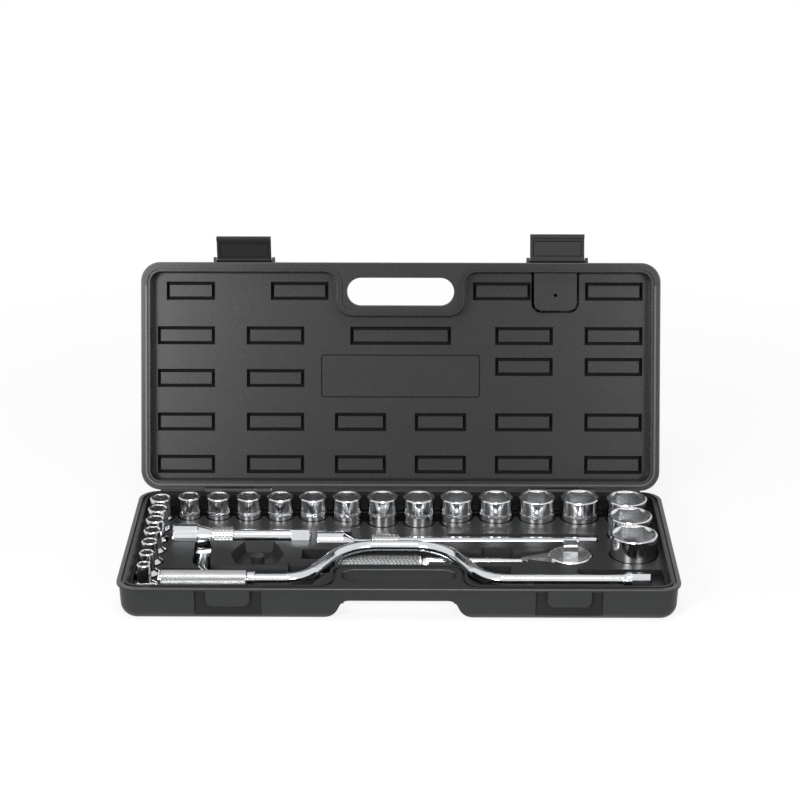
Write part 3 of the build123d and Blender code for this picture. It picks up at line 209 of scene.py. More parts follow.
@dataclass(frozen=True)
class PlatedSteel(Finish):
    """Polished or turned steel, plated or bare: mirror reflections, softened by fine polishing marks.

    Polishing on a lathe leaves marks round an upright axis, which draw each reflection out along it. The
    real marks are hundredths of a millimetre wide, too fine to show, and are drawn coarser.
    """

    roughness_spread: float
    mark_mm: tuple[float, float, float]
    mark_height_mm: float
    mark_strength: float = 0.35
    wave_mm: float = 9.0
    wave_height_mm: float = 0.0
    drawn_out: float = 0.0
    drawn_turn: float = 0.25

    def surface(self, tree: NodeTree, place: NodeSocket) -> dict[str, Any]:
        """Add marks to the gloss and the relief, and slow waves to the colour.

        Args:
            tree: The material's nodes.
            place: Place on the piece.

        Returns:
            The shader's inputs.
        """
        stretch = {"Vector": place, "Scale": tuple(per_mm(size) for size in self.mark_mm)}
        stretched = add_node(tree, "ShaderNodeMapping", stretch).outputs["Vector"]
        fine = {"Vector": stretched, "Scale": 1.0, "Detail": 3.0, "Roughness": 0.65}
        marks = add_node(tree, "ShaderNodeTexNoise", fine).outputs["Fac"]
        slow = {"Vector": place, "Scale": per_mm(self.wave_mm), "Detail": 1.0}
        wave = add_node(tree, "ShaderNodeTexNoise", slow).outputs["Fac"]
        limits = {
            "From Min": NOISE_SPAN[0],
            "From Max": NOISE_SPAN[1],
            "To Min": self.roughness,
            "To Max": self.roughness + self.roughness_spread,
        }
        gloss = add_node(tree, "ShaderNodeMapRange", {"Value": marks, **limits})
        relief = {"Strength": self.mark_strength, "Distance": self.mark_height_mm * MM, "Height": marks}
        bump = add_node(tree, "ShaderNodeBump", relief).outputs["Normal"]
        if self.wave_height_mm:
            swell = {"Distance": self.wave_height_mm * MM, "Height": wave, "Normal": bump}
            bump = add_node(tree, "ShaderNodeBump", swell).outputs["Normal"]
        surface = {
            "Base Color": self.drift(tree, wave),
            "Metallic": 1.0,
            "Roughness": gloss.outputs["Result"],
            "Normal": bump,
        }
        if self.drawn_out:
            turned = add_node(tree, "ShaderNodeTangent", {}, direction_type="RADIAL", axis="Z")
            surface["Anisotropic"] = self.drawn_out
            surface["Anisotropic Rotation"] = self.drawn_turn
            surface["Tangent"] = turned.outputs["Tangent"]
        return surface


# The lid, black with a wide low gloss: a lamp shows in it as a soft pale field.
CASE_SKIN = MouldedPolyethylene("moulded_polyethylene", "#1b1c1d", "#212223", roughness=0.25)
# The base and its tray, a little greyer and duller, so that the seats read as shapes and not as holes.
TRAY_SKIN = MouldedPolyethylene(
    "moulded_tray_polyethylene", "#1e1f20", "#252627", roughness=0.4, shine=0.28
)
# Painted highlight: pale grey on the rims' rounding, the sides' outer land and groove, the lower part of
# the lid's tongue and the ribs behind the sockets, lines that draw the outline of each half.
HIGHLIGHT_SKIN = MouldedPolyethylene(
    "painted_highlight_polyethylene", "#434445", "#3a3b3c", roughness=0.3, shine=0.35
)
# Painted shade, nearly black and dull: a dark frame in each groove of the lid, on the tongue's sides and
# in the flaps' framing lines.
SHADE_SKIN = MouldedPolyethylene("painted_shade_polyethylene", "#0b0b0c", "#101011", roughness=0.7, shine=0.1)
# The latches' own plastic, darker and duller than the case; on the floors of the hollows round the
# catches it is painted shade.
LATCH_AND_SHADE_SKIN = MouldedPolyethylene(
    "latch_and_painted_shade_polyethylene", "#131415", "#18191a", roughness=0.5, shine=0.2
)
# The ratchet's lever: smooth nylon with a small clear highlight.
LEVER_SKIN = MouldedPolyethylene(
    "moulded_lever_nylon", "#222325", "#2a2b2d", roughness=0.35, shine=0.4, grain_mm=0.4,
    grain_height_mm=0.01, cloud_mm=9.0,
)
# Mirror chrome of the bars: lamps show in it as long unbroken lines.
CHROME = PlatedSteel(
    "polished_chrome_plate", "#dcdee0", "#cfd1d4", roughness=0.06, roughness_spread=0.08,
    mark_mm=(3.0, 3.0, 0.8), mark_height_mm=0.004,
)
# Chrome over a lathe-polished outside: reflections are drawn out into upright bands.
SOCKET_CHROME = PlatedSteel(
    "lathe_polished_chrome_plate", "#d4d5d6", "#c4c5c7", roughness=0.09, roughness_spread=0.03,
    mark_mm=(9.0, 9.0, 0.7), mark_height_mm=0.0005, wave_mm=7.0, wave_height_mm=0.03, drawn_out=0.7,
)
# Chrome in a broached hexagon: upright marks turn its flats into soft grey facets.
BROACHED = PlatedSteel(
    "broached_chrome_plate", "#e6e7e8", "#d8d9da", roughness=0.19, roughness_spread=0.06,
    mark_mm=(0.9, 0.9, 8.0), mark_height_mm=0.002, wave_mm=5.0, wave_height_mm=0.12,
)
# Satin chrome of the ratchet's body: highlights with soft ends.
SATIN = PlatedSteel(
    "satin_chrome_plate", "#e8e9ea", "#dbdcde", roughness=0.16, roughness_spread=0.06,
    mark_mm=(5.0, 0.6, 0.6), mark_height_mm=0.002,
)
# Chrome over a faced disc: marks round its centre fan the highlight out.
FACED = PlatedSteel(
    "faced_chrome_plate", "#cbcccd", "#bcbdbf", roughness=0.24, roughness_spread=0.05,
    mark_mm=(0.5, 0.5, 0.5), mark_height_mm=0.001, wave_mm=6.0, drawn_out=0.9,
)
# Chrome on knurling: many small facets that glitter as one pale field.
KNURL_CHROME = PlatedSteel(
    "knurled_chrome_plate", "#afb0b1", "#9fa0a1", roughness=0.3, roughness_spread=0.12,
    mark_mm=(0.8, 0.8, 0.8), mark_height_mm=0.01,
)
# A darker copy of the knurled chrome for the ratchet's handle: painted shade that tones down the lamps'
# highlight on it.
SHADED_KNURL = PlatedSteel(
    "shaded_knurled_chrome_plate", "#747576", "#646566", roughness=0.42, roughness_spread=0.12,
    mark_mm=(0.8, 0.8, 0.8), mark_height_mm=0.01,
)
# Bare turned steel of pins, balls and screws: grey, with rings of finer and coarser marks.
TURNED_STEEL = PlatedSteel(
    "turned_bright_steel", "#a9abad", "#94969a", roughness=0.22, roughness_spread=0.15,
    mark_mm=(0.4, 4.0, 4.0), mark_height_mm=0.006,
)


def dress(piece: Object, finish: Finish) -> None:
    """Give a piece one finish in place of what it has."""
    piece.data.materials.clear()
    piece.data.materials.append(finish.skin())


def paint(piece: Object, finish: Finish, test: Callable[[MeshPolygon], bool]) -> None:
    """Give some faces of a dressed piece another finish.

    Args:
        piece: Piece in object mode.
        finish: Finish of the faces that are taken.
        test: Says whether a face is taken.
    """
    piece.data.materials.append(finish.skin())
    last = len(piece.data.materials) - 1
    for face in piece.data.polygons:
        if test(face):
            face.material_index = last


def only(piece: Object) -> None:
    """Make a piece the only selected and the active object."""
    bpy.ops.object.select_all(action="DESELECT")
    piece.hide_set(False)
    piece.select_set(True)
    bpy.context.view_layer.objects.active = piece


def reopen() -> None:
    """Open the active piece in edit mode again, with its selection kept."""
    bpy.ops.object.mode_set(mode="EDIT")


def edit(piece: Object, select: str = "DESELECT") -> None:
    """Open a piece in edit mode with all or nothing selected."""
    only(piece)
    reopen()
    bpy.ops.mesh.select_all(action=select)


def done() -> None:
    """Leave edit mode."""
    bpy.ops.object.mode_set(mode="OBJECT")


def pick(piece: Object, mode: str, test: Callable[[Any], bool]) -> None:
    """Select what passes a test in a piece that is open in edit mode.

    Args:
        piece: Piece in edit mode.
        mode: VERT, EDGE or FACE.
        test: Says whether a mesh vertex, edge or polygon is taken.
    """
    bpy.ops.mesh.select_mode(type=mode)
    bpy.ops.mesh.select_all(action="DESELECT")
    done()
    mesh = piece.data
    for item in {"VERT": mesh.vertices, "EDGE": mesh.edges, "FACE": mesh.polygons}[mode]:
        if test(item):
            item.select = True
    reopen()


def settle(piece: Object, name: str, place: Matrix) -> None:
    """Name a finished piece and move its mesh so that the object itself sits at the origin.

    Args:
        piece: Piece in edit or object mode.
        name: Name of the piece and its mesh.
        place: Where the shape goes, from where it was modelled.
    """
    done()
    piece.data.transform(place @ piece.matrix_world)
    piece.matrix_world = Matrix.Identity(4)
    piece.name = name
    piece.data.name = name


def enter(piece: Object, body: str, finish: Finish, stands_for: tuple[str, ...] = ()) -> None:
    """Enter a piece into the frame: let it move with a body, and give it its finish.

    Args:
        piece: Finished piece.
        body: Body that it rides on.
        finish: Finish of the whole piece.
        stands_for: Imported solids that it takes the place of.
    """
    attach(piece, body)
    if stands_for:
        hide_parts(*stands_for)
    dress(piece, finish)


def along_x(x: float, y: float, z: float) -> Matrix:
    """Return the placement that lays a shape's own Z along +X at a point in millimetres."""
    return Matrix.Translation(Vector((x, y, z)) * MM) @ Matrix.Rotation(math.pi / 2, 4, "Y")


def box_mm(node: str) -> tuple[Vector, Vector]:
    """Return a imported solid's lowest and highest corner in millimetres."""
    low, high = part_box(node)
    return low / MM, high / MM


def height_mm(point: Vector, out: Vector) -> float:
    """Return how far a point lies along a direction, in millimetres."""
    return point.dot(out) / MM


def body_of(node: str) -> str:
    """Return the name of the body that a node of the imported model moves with."""
    bodies = frame["record"]["behaviour"]["bodies"]
    return next(body for body, nodes in bodies.items() if node in nodes)


def slot_of(node: str) -> str:
    """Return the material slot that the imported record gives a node."""
    return next(part["material_slot"] for part in frame["record"]["subparts"] if part["node"] == node)


def socket_size(node: str) -> int:
    """Return the hexagon size in millimetres that ends a socket's name."""
    return int(node[-2:])


def sockets(smallest: int, largest: int) -> list[str]:
    """Return the sockets of a range of sizes, smallest first."""
    nodes = sorted(node for node in frame["nodes"] if node.startswith("socket_"))
    return [node for node in nodes if smallest <= socket_size(node) <= largest]


def round_off(width_mm: float, steps: int = 2) -> None:
    """Round the selected edges of the piece that is open in edit mode, at their full width."""
    bpy.ops.mesh.bevel(offset=width_mm * MM, segments=steps, affect="EDGES", clamp_overlap=False)


@dataclass(frozen=True)
class Rim:
    """The outer edge of a moulded half: its plane, its seal groove's depth and how far it is rounded."""

    out: Vector
    level_mm: float
    groove_mm: float
    width_mm: float
    steps: int = 3
    side_slope: float = 0.02
    groove_slack_mm: float = 0.1

    def heights(self, piece: Object, item: MeshEdge | MeshPolygon) -> list[float]:
        """Return the heights of an edge's or a face's corners."""
        return [height_mm(piece.data.vertices[i].co, self.out) for i in item.vertices]

    def in_plane(self, height: float) -> bool:
        """Say whether a height is the rim's own."""
        return abs(height - self.level_mm) < LEVEL_SLACK_MM

    def at_edge(self, piece: Object, edge: MeshEdge) -> bool:
        """Say whether an edge lies in the rim's plane."""
        return all(self.in_plane(height) for height in self.heights(piece, edge))

    def on_side(self, piece: Object, face: MeshPolygon, middle: Vector) -> bool:
        """Say whether a face is part of the half's upright outer side, and not of its seal groove.

        Args:
            piece: The moulded half.
            face: One of its faces.
            middle: Middle of the half's box.

        Returns:
            True for a face of the outer side that reaches the rim.
        """
        heights = self.heights(piece, face)
        upright = abs(face.normal.dot(self.out)) < self.side_slope
        in_groove = abs(min(heights) - self.level_mm + self.groove_mm) < self.groove_slack_mm
        outward = face.normal.dot(face.center - middle) > 0
        return upright and outward and self.in_plane(max(heights)) and not in_groove

    def rounded(self, face: MeshPolygon) -> bool:
        """Say whether a face is part of the rounding."""
        depth = self.level_mm - height_mm(face.center, self.out)
        return LEVEL_SLACK_MM / 2 < depth < self.width_mm and WALL < face.normal.dot(self.out) < SQUARE

    def ease(self, piece: Object) -> None:
        """Round the outer edge of a half.

        Args:
            piece: The half, open in edit mode.
        """
        done()
        corners = [Vector(corner) for corner in piece.bound_box]
        middle = sum(corners, Vector()) / len(corners)
        sides = [face for face in piece.data.polygons if self.on_side(piece, face, middle)]
        outer = {key for face in sides for key in face.edge_keys}
        reopen()
        pick(piece, "EDGE", lambda edge: edge.key in outer and self.at_edge(piece, edge))
        round_off(self.width_mm, self.steps)


@dataclass(frozen=True)
class RimCut:
    """A straight parting across the flat faces of a rim, so that its lengths can differ in painted
    highlight.
    """

    out: Vector
    low_mm: float
    high_mm: float
    place: Vector
    beyond: Vector

    def flat(self, face: MeshPolygon) -> bool:
        """Say whether a face is one of the rim's flat faces."""
        level = height_mm(face.center, self.out)
        return self.low_mm < level < self.high_mm and face.normal.dot(self.out) > SQUARE

    def past(self, face: MeshPolygon) -> bool:
        """Say whether a face lies beyond the parting."""
        return (face.center - self.place).dot(self.beyond) > 0

    def ease(self, piece: Object) -> None:
        """Part the flat faces of a half that is open in edit mode."""
        pick(piece, "FACE", self.flat)
        bpy.ops.mesh.bisect(plane_co=self.place, plane_no=self.beyond)


@dataclass(frozen=True)
class GrooveEdges:
    """The edges at which the lid's panel dips into its grooves, and how far they are rounded."""

    out: Vector
    level_mm: float
    width_mm: float
    shallow_mm: float = 1.0
    panel_facing: float = 0.99

    def ease(self, piece: Object) -> None:
        """Round the edges between the panel and the walls of all but shallow grooves.

        Args:
            piece: The lid, open in edit mode.
        """
        done()
        walls: set[tuple[int, int]] = set()
        panel: set[tuple[int, int]] = set()
        for face in piece.data.polygons:
            depth = self.level_mm - height_mm(face.center, self.out)
            facing = face.normal.dot(self.out)
            if abs(depth) < LEVEL_SLACK_MM and facing > self.panel_facing:
                panel.update(face.edge_keys)
            elif depth > self.shallow_mm and abs(facing) < WALL:
                walls.update(face.edge_keys)
        reopen()
        pick(piece, "EDGE", lambda edge: edge.key in panel and edge.key in walls)
        round_off(self.width_mm)


@dataclass
class EasedCopy:
    """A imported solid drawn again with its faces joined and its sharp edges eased."""

    node: str
    edge_mm: float
    finish: Finish
    name_end: str
    eased: tuple[Rim | RimCut | GrooveEdges, ...] = ()
    steps: int = 2
    sharp_angle: float = 28.0
    smooth_angle: float = 34.0
    merge_mm: float = 0.002
    flat_angle: float = 0.4

    def build(self) -> Object:
        """Copy the solid, join its faces and round its edges.

        Returns:
            The piece that stands for the node.
        """
        source = frame["nodes"][self.node]
        piece = bpy.data.objects.new(f"{self.node}_{self.name_end}", source.data.copy())
        bpy.context.scene.collection.objects.link(piece)
        edit(piece, "SELECT")
        bpy.ops.mesh.remove_doubles(threshold=self.merge_mm * MM)
        bpy.ops.mesh.customdata_custom_splitnormals_clear()
        bpy.ops.mesh.dissolve_limited(angle_limit=math.radians(self.flat_angle))
        for edges in self.eased:
            edges.ease(piece)
        done()
        rounding = piece.modifiers.new("eased_edge", "BEVEL")
        rounding.width = self.edge_mm * MM
        rounding.segments = self.steps
        rounding.limit_method = "ANGLE"
        rounding.angle_limit = math.radians(self.sharp_angle)
        rounding.use_clamp_overlap = True
        bpy.ops.object.modifier_apply(modifier=rounding.name)
        bpy.ops.object.shade_smooth_by_angle(angle=math.radians(self.smooth_angle))
        flatter = piece.modifiers.new("flat_faces", "WEIGHTED_NORMAL")
        flatter.keep_sharp = True
        bpy.ops.object.modifier_apply(modifier=flatter.name)
        enter(piece, body_of(self.node), self.finish, (self.node,))
        return piece


@dataclass
class KnurledSleeve:
    """A diamond-knurled sleeve on a round bar, with its own Z along the bar, all sizes in millimetres."""

    name: str
    body: str
    place: Matrix
    length: float
    radius: float
    bore: float
    pitch: float
    height: float
    finish: Finish
    stands_for: tuple[str, ...] = ()
    long_share: float = 0.9
    plain_share: float = 0.6

    def build(self) -> Object:
        """Turn a tube, divide it into a fine net and raise every other crossing of the net.

        Returns:
            The finished sleeve.
        """
        around = 2 * round(math.tau * self.radius / self.pitch / 2)
        rings = round(self.length / self.pitch)
        bpy.ops.mesh.primitive_cylinder_add(
            vertices=around, radius=self.radius * MM, depth=self.length * MM, end_fill_type="NGON"
        )
        piece = bpy.context.active_object
        edit(piece)
        spread = self.length * MM * self.long_share
        pick(piece, "EDGE", lambda edge: self._rise(piece, edge) > spread)
        bpy.ops.mesh.subdivide_edgering(number_cuts=rings - 1, interpolation="LINEAR")
        pick(piece, "FACE", lambda face: len(face.vertices) > 4)
        bpy.ops.mesh.inset(thickness=(self.radius - self.bore) * MM)
        bpy.ops.mesh.delete(type="FACE")
        limit = (self.bore + self.radius) / 2 * MM
        pick(piece, "EDGE", lambda edge: self._reach(piece, edge) < limit)
        bpy.ops.mesh.bridge_edge_loops()
        ends = self.length * MM / 2
        step = self.length * MM / rings
        turn = math.tau / around

        def raised(vertex: MeshVertex) -> bool:
            """Say whether a crossing is one of the diamonds' tips."""
            reach = math.hypot(vertex.co.x, vertex.co.y)
            if reach < limit or abs(vertex.co.z) > ends - step * self.plain_share:
                return False
            row = round((vertex.co.z + ends) / step)
            column = round(math.atan2(vertex.co.y, vertex.co.x) / turn)
            return (row + column) % 2 == 0

        pick(piece, "VERT", raised)
        bpy.ops.transform.shrink_fatten(value=self.height * MM)
        bpy.ops.mesh.select_all(action="SELECT")
        bpy.ops.mesh.quads_convert_to_tris(quad_method="SHORTEST_DIAGONAL")
        settle(piece, self.name, self.place)
        enter(piece, self.body, self.finish, self.stands_for)
        return piece

    @staticmethod
    def _rise(piece: Object, edge: MeshEdge) -> float:
        """Return how far an edge runs along the sleeve."""
        a, b = (piece.data.vertices[i].co for i in edge.vertices)
        return abs(a.z - b.z)

    @staticmethod
    def _reach(piece: Object, edge: MeshEdge) -> float:
        """Return the larger distance of an edge's ends from the sleeve's axis."""
        ends = (piece.data.vertices[i].co for i in edge.vertices)
        return max(math.hypot(end.x, end.y) for end in ends)


@dataclass
class CarryCase:
    """The two moulded halves and their latch flaps.

    Heights on the base are along +Z, and on the open lid along the direction square to its panel.
    """

    edge_mm: float = 0.7
    latch_edge_mm: float = 0.4
    rim_edge_mm: float = 0.8
    groove_edge_mm: float = 0.5
    open_angle: float = 108.8
    base_level_mm: float = 32.4
    lid_level_mm: float = -91.61
    panel_level_mm: float = -109.61
    panel_facing: float = 0.999
    panel_half_mm: float = 226.0
    panel_rise_mm: float = 97.0
    hand_hole_half_mm: float = 58.0
    hand_hole_from_mm: float = 55.0
    seal_groove_mm: float = 2.8
    slack_mm: float = 0.1
    side_mm: float = 224.0
    outer_land_mm: float = 235.0
    tongue_mm: float = 2.2
    tongue_foot_mm: float = 0.05
    tongue_slack_mm: float = 0.6
    tongue_rise_mm: float = 84.0
    shade_from_mm: float = 1.5
    shade_to_mm: float = 6.5
    label_line_mm: float = 0.8
    groove_edge_facing: float = 0.97
    undercut_facing: float = -0.3
    catch_depth_mm: float = 5.0
    catch_slack_mm: float = 0.3
    catch_facing: float = 0.95
    flap_frame_mm: float = 2.2
    flap_line_mm: float = 0.9
    flap_line_depth_mm: float = 0.4
    flap_smooth_angle: float = 20.0

    def build(self) -> list[Object]:
        """Return the finished halves and flaps."""
        return [self._base(), self._lid(), self._flap("latch_left"), self._flap("latch_right")]

    def _out(self) -> Vector:
        """Return the direction out of the open lid, square to its panel."""
        lean = math.radians(self.open_angle - 90)
        return Vector((0, -math.cos(lean), math.sin(lean)))

    def _up(self) -> Vector:
        """Return the direction up the open lid's panel."""
        lean = math.radians(self.open_angle - 90)
        return Vector((0, math.sin(lean), math.cos(lean)))

    def _base(self) -> Object:
        """Build the base, with a painted highlight on its rim and painted shade in the hollows round its
        catches.

        Returns:
            The finished base.
        """
        up = Vector((0, 0, 1))
        rim = Rim(up, self.base_level_mm, self.seal_groove_mm, self.rim_edge_mm)
        low = self.base_level_mm - self.seal_groove_mm - self.slack_mm
        high = self.base_level_mm + self.slack_mm
        sides = [Vector((-1, 0, 0)), Vector((1, 0, 0))]
        cuts = [RimCut(up, low, high, side * self.side_mm * MM, side) for side in sides]
        base = EasedCopy("case_base", self.edge_mm, TRAY_SKIN, "moulded", (rim, *cuts)).build()
        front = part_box("case_base")[0].y / MM

        def gets_painted_highlight(face: MeshPolygon) -> bool:
            """Say whether a face gets the painted highlight: on the rounding, or on the outer land or
            groove of a side.
            """
            reach = max(abs(base.data.vertices[i].co.x) for i in face.vertices) / MM
            at_side = any(cut.flat(face) and cut.past(face) for cut in cuts)
            return rim.rounded(face) or (reach > self.outer_land_mm and at_side)

        def in_shaded_hollow(face: MeshPolygon) -> bool:
            """Say whether a face is the floor of the hollow round a catch, which gets painted shade."""
            depth = face.center.y / MM - front
            at_depth = abs(depth - self.catch_depth_mm) < self.catch_slack_mm
            return at_depth and face.normal.y < -self.catch_facing and face.area > MM * MM

        # The rounding and the sides' outer land and groove get a painted highlight; the hollows' floors
        # get painted shade.
        paint(base, HIGHLIGHT_SKIN, gets_painted_highlight)
        paint(base, LATCH_AND_SHADE_SKIN, in_shaded_hollow)
        return base

    def _lid(self) -> Object:
        """Build the lid, with painted shade in its grooves and on the tongue's sides, and a painted
        highlight on its rim and tongue.

        Returns:
            The finished lid.
        """
        out = self._out()
        low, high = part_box("case_lid")
        middle = (low + high) / 2
        rim = Rim(out, self.lid_level_mm, self.seal_groove_mm, self.rim_edge_mm)
        grooves = GrooveEdges(out, self.panel_level_mm, self.groove_edge_mm)
        top = self.lid_level_mm + self.tongue_mm
        corner = middle + self._up() * self.tongue_rise_mm * MM
        cut = RimCut(out, top - self.tongue_slack_mm, top + self.tongue_slack_mm, corner, -self._up())
        lid = EasedCopy("case_lid", self.edge_mm, CASE_SKIN, "moulded", (rim, grooves, cut)).build()

        def gets_painted_highlight(face: MeshPolygon) -> bool:
            """Say whether a face gets the painted highlight: on the rounding, or on the tongue's top
            below its upper corners.
            """
            height = height_mm(face.center, out) - self.lid_level_mm
            on_top = self.tongue_mm / 2 < height < self.tongue_mm + self.slack_mm
            lower = cut.past(face) and not self._at_hand_hole(face, middle)
            return rim.rounded(face) or (on_top and face.normal.dot(out) > LEANING and lower)

        flat = [face for face in lid.data.polygons if face.normal.dot(out) > self.panel_facing]
        level = max(flat, key=lambda face: face.area).center.dot(out)

        def gets_painted_shade(face: MeshPolygon) -> bool:
            """Say whether a face gets painted shade: in a groove of the panel or on a side of the tongue.
            """
            depth = (level - face.center.dot(out)) / MM
            return self._in_groove(face, depth, middle) or self._on_tongue_side(face)

        # The grooves and the tongue's sides get painted shade; the rim's rounding and the tongue's lower
        # top get a painted highlight.
        paint(lid, SHADE_SKIN, gets_painted_shade)
        paint(lid, HIGHLIGHT_SKIN, gets_painted_highlight)
        return lid

    def _at_hand_hole(self, face: MeshPolygon, middle: Vector) -> bool:
        """Say whether a face of the lid lies round its hand hole."""
        rise = height_mm(face.center - middle, self._up())
        return abs(face.center.x) / MM < self.hand_hole_half_mm and rise > self.hand_hole_from_mm

    def _on_tongue_side(self, face: MeshPolygon) -> bool:
        """Say whether a face of the lid is a side of its tongue."""
        height = height_mm(face.center, self._out()) - self.lid_level_mm
        upright = abs(face.normal.dot(self._out())) < LEANING
        return self.tongue_foot_mm < height < self.tongue_mm and upright

    def _in_groove(self, face: MeshPolygon, depth: float, middle: Vector) -> bool:
        """Say whether a face of the lid lies in a groove of its panel, or in the label field's line,
        where it gets painted shade.

        Args:
            face: One of the lid's faces.
            depth: How far it lies below the panel, in millimetres.
            middle: Middle of the lid's box.

        Returns:
            True for the groove's floor, walls and rounded edges.
        """
        facing = face.normal.dot(self._out())
        rise = height_mm(face.center - middle, self._up())
        on_panel = abs(face.center.x) / MM < self.panel_half_mm and abs(rise) < self.panel_rise_mm
        on_edge = LEVEL_SLACK_MM < depth < self.groove_edge_mm and facing < self.groove_edge_facing
        on_line = abs(depth - self.label_line_mm) < self.slack_mm
        deep = on_edge or on_line or self.shade_from_mm < depth < self.shade_to_mm
        faces_out = facing > self.undercut_facing
        return on_panel and deep and faces_out and not self._at_hand_hole(face, middle)

    def _flap(self, node: str) -> Object:
        """Build a latch flap and press a framed field into its inner face.

        Args:
            node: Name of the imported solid.

        Returns:
            The finished flap.
        """
        flap = EasedCopy(node, self.latch_edge_mm, LATCH_AND_SHADE_SKIN, "moulded").build()
        inner_faces = [face for face in flap.data.polygons if face.normal.y < -ROUGHLY_SQUARE]
        inner = max(inner_faces, key=lambda face: face.area).index
        edit(flap)
        pick(flap, "FACE", lambda face: face.index == inner)
        bpy.ops.mesh.inset(thickness=self.flap_frame_mm * MM)
        done()
        before = len(flap.data.polygons)
        reopen()
        bpy.ops.mesh.inset(thickness=self.flap_line_mm * MM, depth=-self.flap_line_depth_mm * MM)
        done()
        # The framing line gets painted shade.
        paint(flap, SHADE_SKIN, lambda face: face.index >= before)
        bpy.ops.mesh.customdata_custom_splitnormals_clear()
        bpy.ops.object.shade_smooth_by_angle(angle=math.radians(self.flap_smooth_angle))
        return flap


@dataclass
class HingeBead:
    """The moulded bead along the base's back edge, on the hinge's own axis and clear of its knuckles."""

    radius_mm: float = 1.35
    end_mm: float = 222.0
    knuckle_gap_mm: float = 0.3
    hinge_length_mm: float = 60.8
    corner_mm: float = 0.6
    sides: int = 20
    smooth_angle: float = 35.0

    def build(self) -> list[Object]:
        """Build the bead's three lengths, left of, between and right of the knuckles.

        Returns:
            The three lengths.
        """
        joints = frame["record"]["behaviour"]["joints"]
        hinge = next(joint for joint in joints if joint["name"] == "lid_hinge")
        axis = Vector(hinge["pos_m"])
        low, high = (corner.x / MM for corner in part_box("hinge_pins"))
        inner = low + self.hinge_length_mm
        gap = self.knuckle_gap_mm
        return [
            self._length("hinge_bead_left", -self.end_mm, low - gap, axis),
            self._length("hinge_bead_middle", inner + gap, -inner - gap, axis),
            self._length("hinge_bead_right", high + gap, self.end_mm, axis),
        ]

    def _length(self, name: str, start: float, end: float, axis: Vector) -> Object:
        """Build one length of the bead.

        Args:
            name: Name of the piece.
            start: Lower end along X, in millimetres.
            end: Upper end along X, in millimetres.
            axis: A point on the hinge's axis.

        Returns:
            The finished length, with rounded ends.
        """
        bpy.ops.mesh.primitive_cylinder_add(
            vertices=self.sides, radius=self.radius_mm * MM, depth=(end - start) * MM
        )
        piece = bpy.context.active_object
        edit(piece)
        pick(piece, "FACE", lambda face: len(face.vertices) > 4)
        round_off(self.corner_mm)
        settle(piece, name, along_x((start + end) / 2, axis.y / MM, axis.z / MM))
        only(piece)
        bpy.ops.object.shade_smooth_by_angle(angle=math.radians(self.smooth_angle))
        enter(piece, "base", TRAY_SKIN)
        return piece


@dataclass
class TrayRibs:
    """Pairs of short ribs on the wall behind the row of sockets, one pair in each gap of the row, pale
    with a painted highlight.
    """

    smallest: int = 15
    largest: int = 28
    wall_mm: float = 94.39
    stand_mm: float = 0.7
    width_mm: float = 4.8
    height_mm: float = 0.9
    levels_mm: tuple[float, float] = (20.0, 15.6)
    corner_mm: float = 0.25

    def build(self) -> Object:
        """Build all the ribs as one piece.

        Returns:
            The piece with every rib.
        """
        boxes = [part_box(node) for node in sockets(self.smallest, self.largest)]
        gaps = [(left[1].x + right[0].x) / 2 for left, right in zip(boxes, boxes[1:])]
        size = (self.width_mm, self.stand_mm, self.height_mm)
        y = (self.wall_mm - self.stand_mm / 2) * MM
        spots = [Vector((x, y, level * MM)) for x in gaps for level in self.levels_mm]
        bpy.ops.mesh.primitive_cube_add(size=MM, location=(0, 0, 0))
        piece = bpy.context.active_object
        # The first cube only opens an empty mesh, which then gets a cube for each rib.
        edit(piece, "SELECT")
        bpy.ops.mesh.delete(type="VERT")
        for spot in spots:
            bpy.ops.mesh.primitive_cube_add(size=MM, location=spot, scale=size)
        bpy.ops.mesh.select_all(action="SELECT")
        round_off(self.corner_mm)
        settle(piece, "tray_ribs", Matrix.Identity(4))
        # The ribs are painted pale: a painted highlight.
        enter(piece, body_of("case_base"), HIGHLIGHT_SKIN)
        return piece


